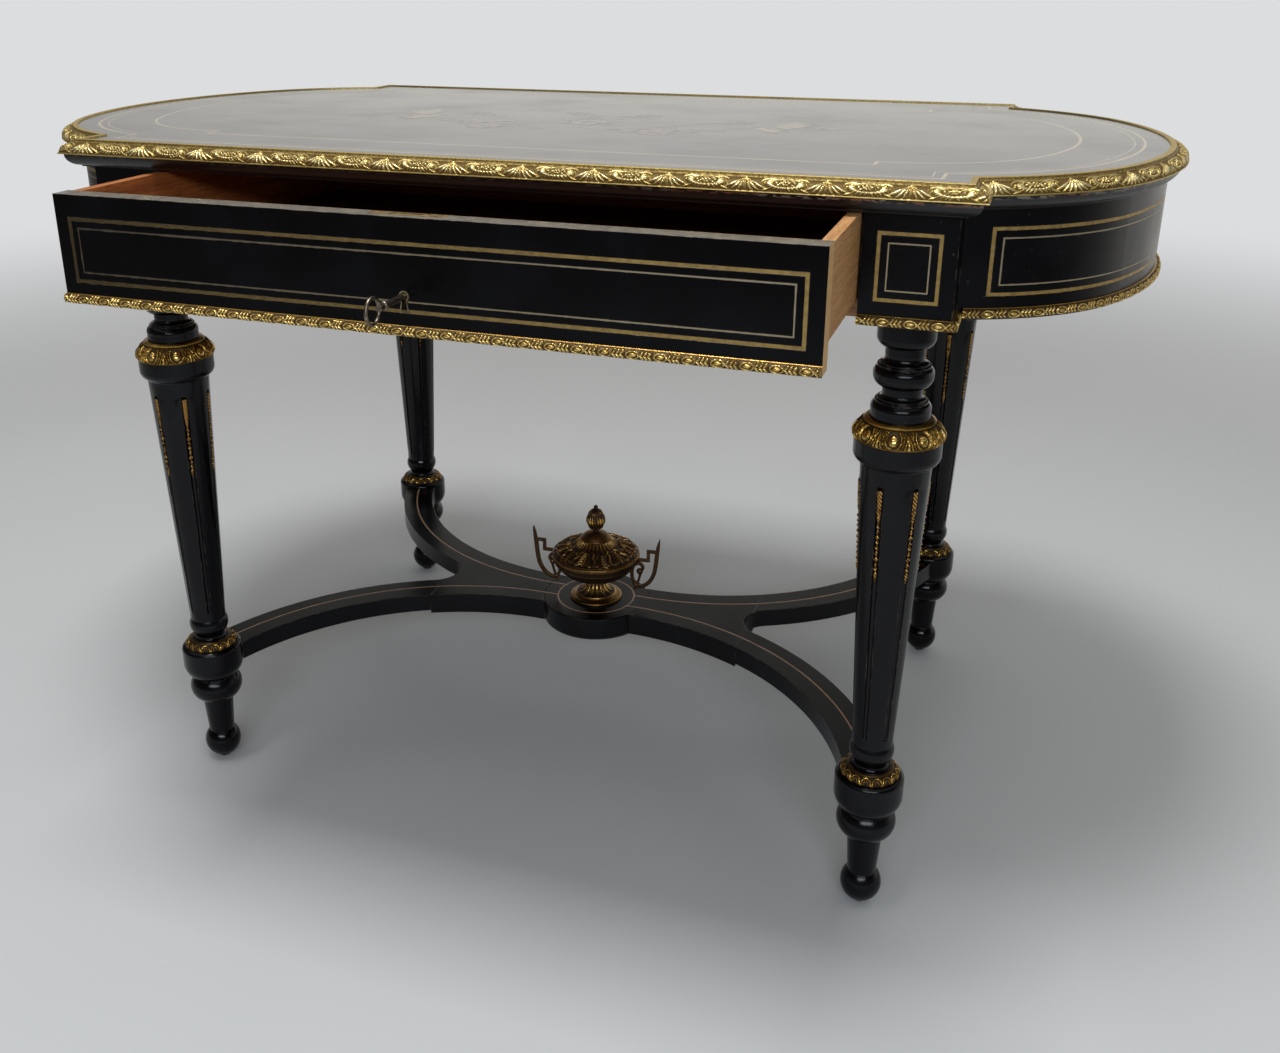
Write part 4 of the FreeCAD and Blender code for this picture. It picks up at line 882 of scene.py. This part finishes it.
# Edge of the top: cast gilt mouldings nailed round the panel, mitred at the corners. Above a thin lip runs a
# band of fans and scrolled ovals, then a dull plain hollow and a thin bright fillet level with the top.

edge_gilt = gilt("gilt_brass_pale_edge", "#eee0b0", "#c6ad6a", "#614b1d", smooth=0.34, tarnish=0.2)
EDGE_REPEAT, EDGE_FAN_X, EDGE_PITCH, EDGE_OUT = 66.7, -14.6, 0.75, 18.0
edge_face = drawn_line([(16.7, 729.7), (13.6, 735.6, 7.4, 738.3)], 0.5)
edge_section, edge_band = banded(
    drawn_line([(0.0, 729.5), (13.7, 729.5), (13.7, 728.3), (17.3, 728.2), (17.9, 728.7), (17.6, 729.4)], 0.5),
    edge_face, drawn_line([(7.3, 738.9), (6.0, 739.8, 5.5, 741.4), (5.0, 742.0), (0.0, 742.0)], 0.5))
edge_base = np.where((edge_section[:, 1] > 738.5) & (edge_section[:, 1] < 741.6), 0.15, 0.5)

FAN_TOP = 11.6
fan_forms = [
    dome((0, 12.2), (1.3, 1.0), 1.7),
    both(ridge([(14.4, 0.6), (17.4, 1.4), (20.6, 2.6)], (0.6, 0.8, 0.5), (1.1, 1.3, 0.9))),
]
for tip_u, tip_v in ((0.0, 0.5), (5.6, 0.5), (11.0, 0.9), (16.2, 2.4)):    # in life nine lobes, finer
    fall = FAN_TOP - tip_v
    lobe = [(0.1 * tip_u, FAN_TOP), (0.3 * tip_u, FAN_TOP - 0.36 * fall), (0.66 * tip_u, FAN_TOP - 0.75 * fall),
            (tip_u, tip_v)]
    fan_forms.append(both(ridge(lobe, (0.35, 0.7, 1.25, 0.7), (1.1, 1.5, 1.9, 1.2))))
oval_forms = [
    ridge(oval((0, 7.3), (15.0, 4.5)), (0.75,), (1.3,)),
    both(ridge([(8.6, 12.1), (14.0, 11.7), (18.4, 10.2), (20.2, 7.8)], (0.7, 1.0, 1.0, 0.5),
               (1.2, 1.5, 1.4, 0.8))),
    both(ridge([(16.8, 8.0), (18.4, 4.6)], (0.7, 0.5), (1.1, 0.8))),
    both(ridge(oval((-7.6, 7.4), (3.6, 2.4), -70, 230), (0.7, 0.55), (1.5, 1.2))),
    both(dome((7.6, 7.4), (1.5, 1.1), 1.6)),
    both(dome((12.4, 7.4), (1.4, 1.8), 1.3)),
    dome((0, 7.4), (1.2, 0.9), 1.8),
]
oval_forms += [dome(petal, (1.2, 1.0), 1.5) for petal in oval((0, 7.4), (2.7, 2.0), 0, 300, 6)]
oval_forms += [both(dome(bead, (1.6, 0.9), 1.3)) for bead in ((2.2, 12.4), (6.4, 12.3))]
for tilt in range(188, 353, 13):
    foot, tip = compass(np.radians([tilt, tilt + (6 if tilt > 270 else -6)]))
    leaf = [(13.4 * foot[0], 7.3 + 4.0 * foot[1]), (16.6 * tip[0], 7.3 + 6.8 * tip[1])]
    oval_forms.append(ridge(leaf, (0.9, 0.5), (1.7, 1.0)))
edge_tile = pattern(EDGE_REPEAT, lengths_along(edge_face)[-1], fan_forms + moved(EDGE_REPEAT / 2, oval_forms))

STEP_X, STEP_Y = 428.5, 318.5
inner_y, outer_y = (bow_depth(STEP_X + offset, offset) for offset in (0.0, EDGE_OUT))
step_mitre = (outer_y - inner_y) / EDGE_OUT
front_spots, front_ways, front_along = straight_run(
    [(-STEP_X, inner_y), (-STEP_X, STEP_Y), (STEP_X, STEP_Y), (STEP_X, inner_y)],
    [(-1, step_mitre), (-1, 1), (1, 1), (1, step_mitre)], EDGE_PITCH)
front_along = front_along - (STEP_Y - inner_y) - STEP_X - EDGE_FAN_X
edge_form = edge_section, edge_band, edge_tile, edge_base
front_shell = moulding(front_spots, front_ways, front_along, *edge_form,
                       quiet=[-STEP_X - EDGE_FAN_X, STEP_X - EDGE_FAN_X])
bow_shell = moulding(*bow_run(0.0, 0.0, STEP_X, (1.0, step_mitre), EDGE_PITCH), *edge_form)
for name, shell in (("front", mirrored(front_shell, 1, -1)), ("back", mirrored(front_shell, -1, 1)),
                    ("right", bow_shell), ("left", mirrored(bow_shell, -1, 1))):
    fit(cast_piece("gilt_top_edge_" + name, edge_gilt, [shell]), "carcass", "top_edge_" + name)


# Drawer: a black polished front on oak sides, back and bottom, planed and left bare. Brass stringing is let
# into the front's face.

DRAWER_END_X, FRONT_INNER_Y, FACE_Y = 345.5, -439.0, -459.0


@drawn_finish
def drawer_face(add, place):
    """The front's black polish on its face, with grey on its upward-facing top edge that is partly rubbing and
    partly a painted reflection, and bare oak on its two ends and its back."""
    x, y = (add("SeparateXYZ", place, give=axis) for axis in "XY")
    reach = add("Math", x, operation="ABSOLUTE")
    ends = add("Math", reach, (DRAWER_END_X - 0.05) / 1000, operation="GREATER_THAN")
    back = add("Math", y, (FRONT_INNER_Y - 0.1) / 1000, operation="GREATER_THAN")
    bare = add("Math", ends, back, operation="MAXIMUM")
    along = add("Mapping", place, Scale=per_metre(45, 45, 1.1))
    grain = add("TexNoise", along, Scale=1.0, Detail=4.0)
    bloom = add("TexNoise", place, Scale=per_metre(80), Detail=5.0)
    rub = add("TexNoise", place, Scale=per_metre(10), Detail=6.0)
    rounded = add("Bevel", Radius=0.0011, samples=4)
    flat = add("NewGeometry", give="Normal")
    turn = add("VectorMath", rounded, flat, operation="DOT_PRODUCT")
    edge = add("MapRange", turn, 0.95, 0.78)
    patch = add("MapRange", rub, 0.46, 0.6, To_Max=0.9)
    worn = add("Math", edge, patch, operation="MULTIPLY")
    hazy = add("MapRange", bloom, 0.5, 0.75)
    black = add("Mix", hazy, "#010103", "#07080d")
    # painted reflection, partly rubbing: faces that look upward are greyed in patches
    upward = add("SeparateXYZ", flat, give="Z")
    top = add("MapRange", upward, 0.7, 0.9)
    wiped = add("MapRange", rub, 0.35, 0.65, To_Min=0.45)
    grey = add("Math", top, wiped, operation="MULTIPLY")
    dust_and_sheen = add("Mix", grey, black, "#5c554e")
    rubbed = add("Mix", worn, dust_and_sheen, "#94826e")
    wood = add("Mix", grain, "#dcb884", "#b08450")
    colour = add("Mix", bare, rubbed, wood)
    polish = add("MapRange", bloom, 0.3, 0.7, To_Min=0.18, To_Max=0.28)
    rough = add("Math", bare, 0.3, polish, operation="MULTIPLY_ADD")
    pores = add("Bump", Strength=0.12, Distance=0.00005, Height=grain, Normal=rounded)
    return dict(Base_Color=colour, Roughness=rough, Normal=pores, IOR=1.28)


dress(drawer_face("ebonised_wood_drawer_front"), "drawer_front")
dress(oak("oak_planed_drawer_sides", (1.3, 26, 1.3), "#c49560", "#a87545", "#5c3a1e"), "drawer_side_right")
# The inner faces of the drawer are redder oak, and are made darker partly as painted shade inside the drawer.
dress(oak("oak_planed_red_side", (1.6, 34, 1.6), "#b06a36", "#8a4c24", "#4a2812"), "drawer_side_left")
dress(oak("oak_planed_drawer_inside", (34, 1.8, 1.8), "#8a5430", "#6c3c20", "#331c0e"), "drawer_back",
      "drawer_bottom")
# the drawer's lines take painted shade towards their left end
drawer_lines = stringing("brass_stringing_drawer", 0.0, PANEL_HALF_X, 0.66425, 0.0208, dark_x=-0.36)
dress(drawer_lines, "drawer_stringing")

drawer_run = straight_run([(-DRAWER_END_X, -FACE_Y), (DRAWER_END_X, -FACE_Y)], [(0, 1), (0, 1)], STRIP_PITCH)
drawer_shell = strip_shell(drawer_run, -DRAWER_END_X - 289.3, rise=-3.0)    # an oval stands at x = 289.3
drawer_strip = cast_piece("gilt_strip_of_drawer", strip_gilt, [mirrored(drawer_shell, 1, -1)])
fit(drawer_strip, "drawer", "drawer_strip")


# Lock and keyhole: an iron-screwed brass lock let into the front, with a bolt that rises through its plate, and
# a thin brass liner round the keyhole.

lock_brass = aged_metal("lock_brass_dull", "#a98a52", "#5d4622", 6, (0.4, 0.68), rough=(0.3, 0.55))
dress(lock_brass, "lock_case", "lock_bolt")    # sheet brass gone dull, brown in the scratches
liner_brass = aged_metal("brass_liner_greyed", "#a8987c", "#5a4c38", 6, (0.4, 0.68), rough=(0.32, 0.57))

KEY_Z = 649.0
liner_edge = np.concatenate([oval((0, KEY_Z), (4.6, 4.6), -48, 228, 26),
                             [(-2.9, 643.0), (-4.6, 634.6), (4.6, 634.6), (2.9, 643.0)]])
liner_hole = np.concatenate([oval((0, KEY_Z), (3.4, 3.4), -55, 235, 26),
                             [(-1.9, 643.2), (-3.2, 635.9), (3.2, 635.9), (1.9, 643.2)]])
liner_loops = [(liner_hole, 4.0), (liner_edge, 4.0), (liner_edge, -0.3),
               (liner_edge * 0.985 + liner_hole * 0.015, -0.6), (liner_hole, -0.6)]
liner_grid = np.stack([np.insert(loop, 1, FACE_Y + sunk, axis=1) for loop, sunk in liner_loops])
liner = cast_piece("keyhole_liner", liner_brass, [(liner_grid, 0.7)], joined=True)
fit(liner, "drawer", "escutcheon")


# Key: forged and filed steel, a round shank with a collar, a bit with two cuts that lifts the bolt, and an oval
# ring bow brazed to the shank's end.

shank_line = drawn_line([(2.4, -502.0), (3.2, -501.0), (3.2, -498.0), (2.8, -497.0), (2.8, -494.6),
                         (4.2, -493.0, 2.9, -491.4), (2.8, -490.6), (2.8, -441.2), (2.4, -440.9)], 0.4)
wire_x, wire_z = compass(full_turn(24)).T
shank_r, shank_y = shank_line[:, :1], shank_line[:, 1:]
shank_grid = np.stack(np.broadcast_arrays(shank_r * wire_x, shank_y, KEY_Z + shank_r * wire_z), axis=2)
bit_edge = np.array([(-449.4, 648.0), (-449.4, 639.2), (-447.6, 639.2), (-447.6, 641.2), (-446.4, 641.2),
                     (-446.4, 639.2), (-444.6, 639.2), (-444.6, 642.0), (-443.4, 642.0), (-443.4, 639.2),
                     (-441.6, 639.2), (-441.6, 648.0)])
bit_grid = np.stack([np.insert(bit_edge, 0, x, axis=1) for x in (-1.4, 1.4)])
BOW_Y, BOW_RADII, BOW_WIRE, BOW_FLAT = -511.0, (10.4, 10.8), 1.5, 1.1
bow_far, bow_up = compass(full_turn(72)).T[..., None]
bow_grid = np.stack(np.broadcast_arrays(
    BOW_FLAT * BOW_WIRE * wire_z, BOW_Y + bow_far * (BOW_RADII[0] + BOW_WIRE * wire_x),
    KEY_Z + bow_up * (BOW_RADII[1] + BOW_WIRE * wire_x)), axis=2)
key_steel = aged_metal("steel_key_filed", "#8a7f70", "#4a4138", 3, (0.4, 0.7), rough=(0.26, 0.5),
                       detail=5.0)    # bronze grey with age, brighter where it is handled, with dark pits
for part in (cast_piece("key_bow_ring", key_steel, [(bow_grid, 0.5)], joined=True),
             cast_piece("key_shank_and_bit", key_steel, [(shank_grid, 0.5), (bit_grid, 0.5)])):
    fit(part, "key", "key")


# Floor, light and camera: a plain pale floor that fades into a pale surround, one broad soft light hung above
# the table, a weaker cool one in front, light from a pale wall behind, and the camera.

@drawn_finish
def pale_floor(add, place):
    """Painted floor, pale grey and matt under the table; it thins out to nothing at a distance."""
    cloud = add("TexNoise", place, Scale=per_metre(769.2), Detail=5.0)
    grit = add("TexNoise", place, Scale=per_metre(11.11), Detail=3.0)
    colour = add("Mix", cloud, "#b9bbbd", "#c2c3c4")
    bump = add("Bump", Strength=0.1, Distance=0.0004, Height=grit)
    paint = add("BsdfPrincipled", Base_Color=colour, Roughness=0.7, Normal=bump)
    away = add("VectorMath", place, give="Value", operation="LENGTH")
    thin = add("MapRange", away, 1.5, 4.0, interpolation_type="SMOOTHSTEP")
    clear = add("BsdfTransparent")
    return add("MixShader", thin, paint, clear)


FLOOR_HALF = 4.5
floor_mesh = bpy.data.meshes.new("studio_floor")
floor_mesh.from_pydata([(x * FLOOR_HALF, y * FLOOR_HALF, 0.0) for x, y in ((-1, -1), (1, -1), (1, 1), (-1, 1))],
                       [], [(0, 1, 2, 3)])
floor_mesh.materials.append(pale_floor("floor_pale_matt"))
stand("studio_floor", floor_mesh)

world = bpy.data.worlds.new("studio_light")
world.use_nodes = True
world.node_tree.nodes.clear()
add = node_adder(world.node_tree)
toward = add("TexCoord", give="Generated")
facing = add("VectorMath", toward, (0.25, 0.97, 0.0), give="Value", operation="DOT_PRODUCT")
wall = add("MapRange", facing, 0.1, 0.85, To_Min=0.15, To_Max=0.85, interpolation_type="SMOOTHSTEP")
seen = add("LightPath", give="Is Camera Ray")
height = add("SeparateXYZ", toward, give="Z")
dimmer = add("MapRange", height, 0.2, 0.5, To_Min=1.0, To_Max=0.25, interpolation_type="SMOOTHSTEP")
overhead = add("MapRange", height, 0.5, 0.9, To_Max=0.6, interpolation_type="SMOOTHSTEP")
strength = add("Math", wall, dimmer, overhead, operation="MULTIPLY_ADD")
glow = add("Background", Color="#fffdf7", Strength=strength)
plain_sky = add("Background", Color="#dcdddf", Strength=1.0)
shown = add("MixShader", seen, glow, plain_sky)
add("OutputWorld", shown)
bpy.context.scene.world = world
lamp = bpy.data.lights.new("key_light", "AREA")
lamp.size, lamp.energy = 0.9, 68.0
stand("key_light", lamp).location = (-0.19, -0.58, 3.4)
day = bpy.data.lights.new("front_light", "AREA")
day.shape, day.size, day.size_y = "RECTANGLE", 2.2, 0.45
day.energy, day.color = 42.0, (0.84, 0.92, 1.0)
front_light = stand("front_light", day)
front_light.location = (0.9, -2.9, 1.75)
front_light.rotation_euler = (math.radians(68), 0, math.radians(18))

camera = bpy.data.cameras.new("photo_camera")
camera.sensor_width, camera.lens = 36.0, 35.58
camera.shift_x, camera.shift_y = 0.0299, -0.0679
camera.clip_start, camera.clip_end = 0.05, 60.0
eye = stand("photo_camera", camera)
eye.location = (0.4927, -1.3577, 0.9018)
eye.rotation_euler = (math.pi / 2 - 0.35795, 0.00188, 0.34221)
bpy.context.scene.camera = eye
bpy.context.scene.view_settings.view_transform = "Standard"
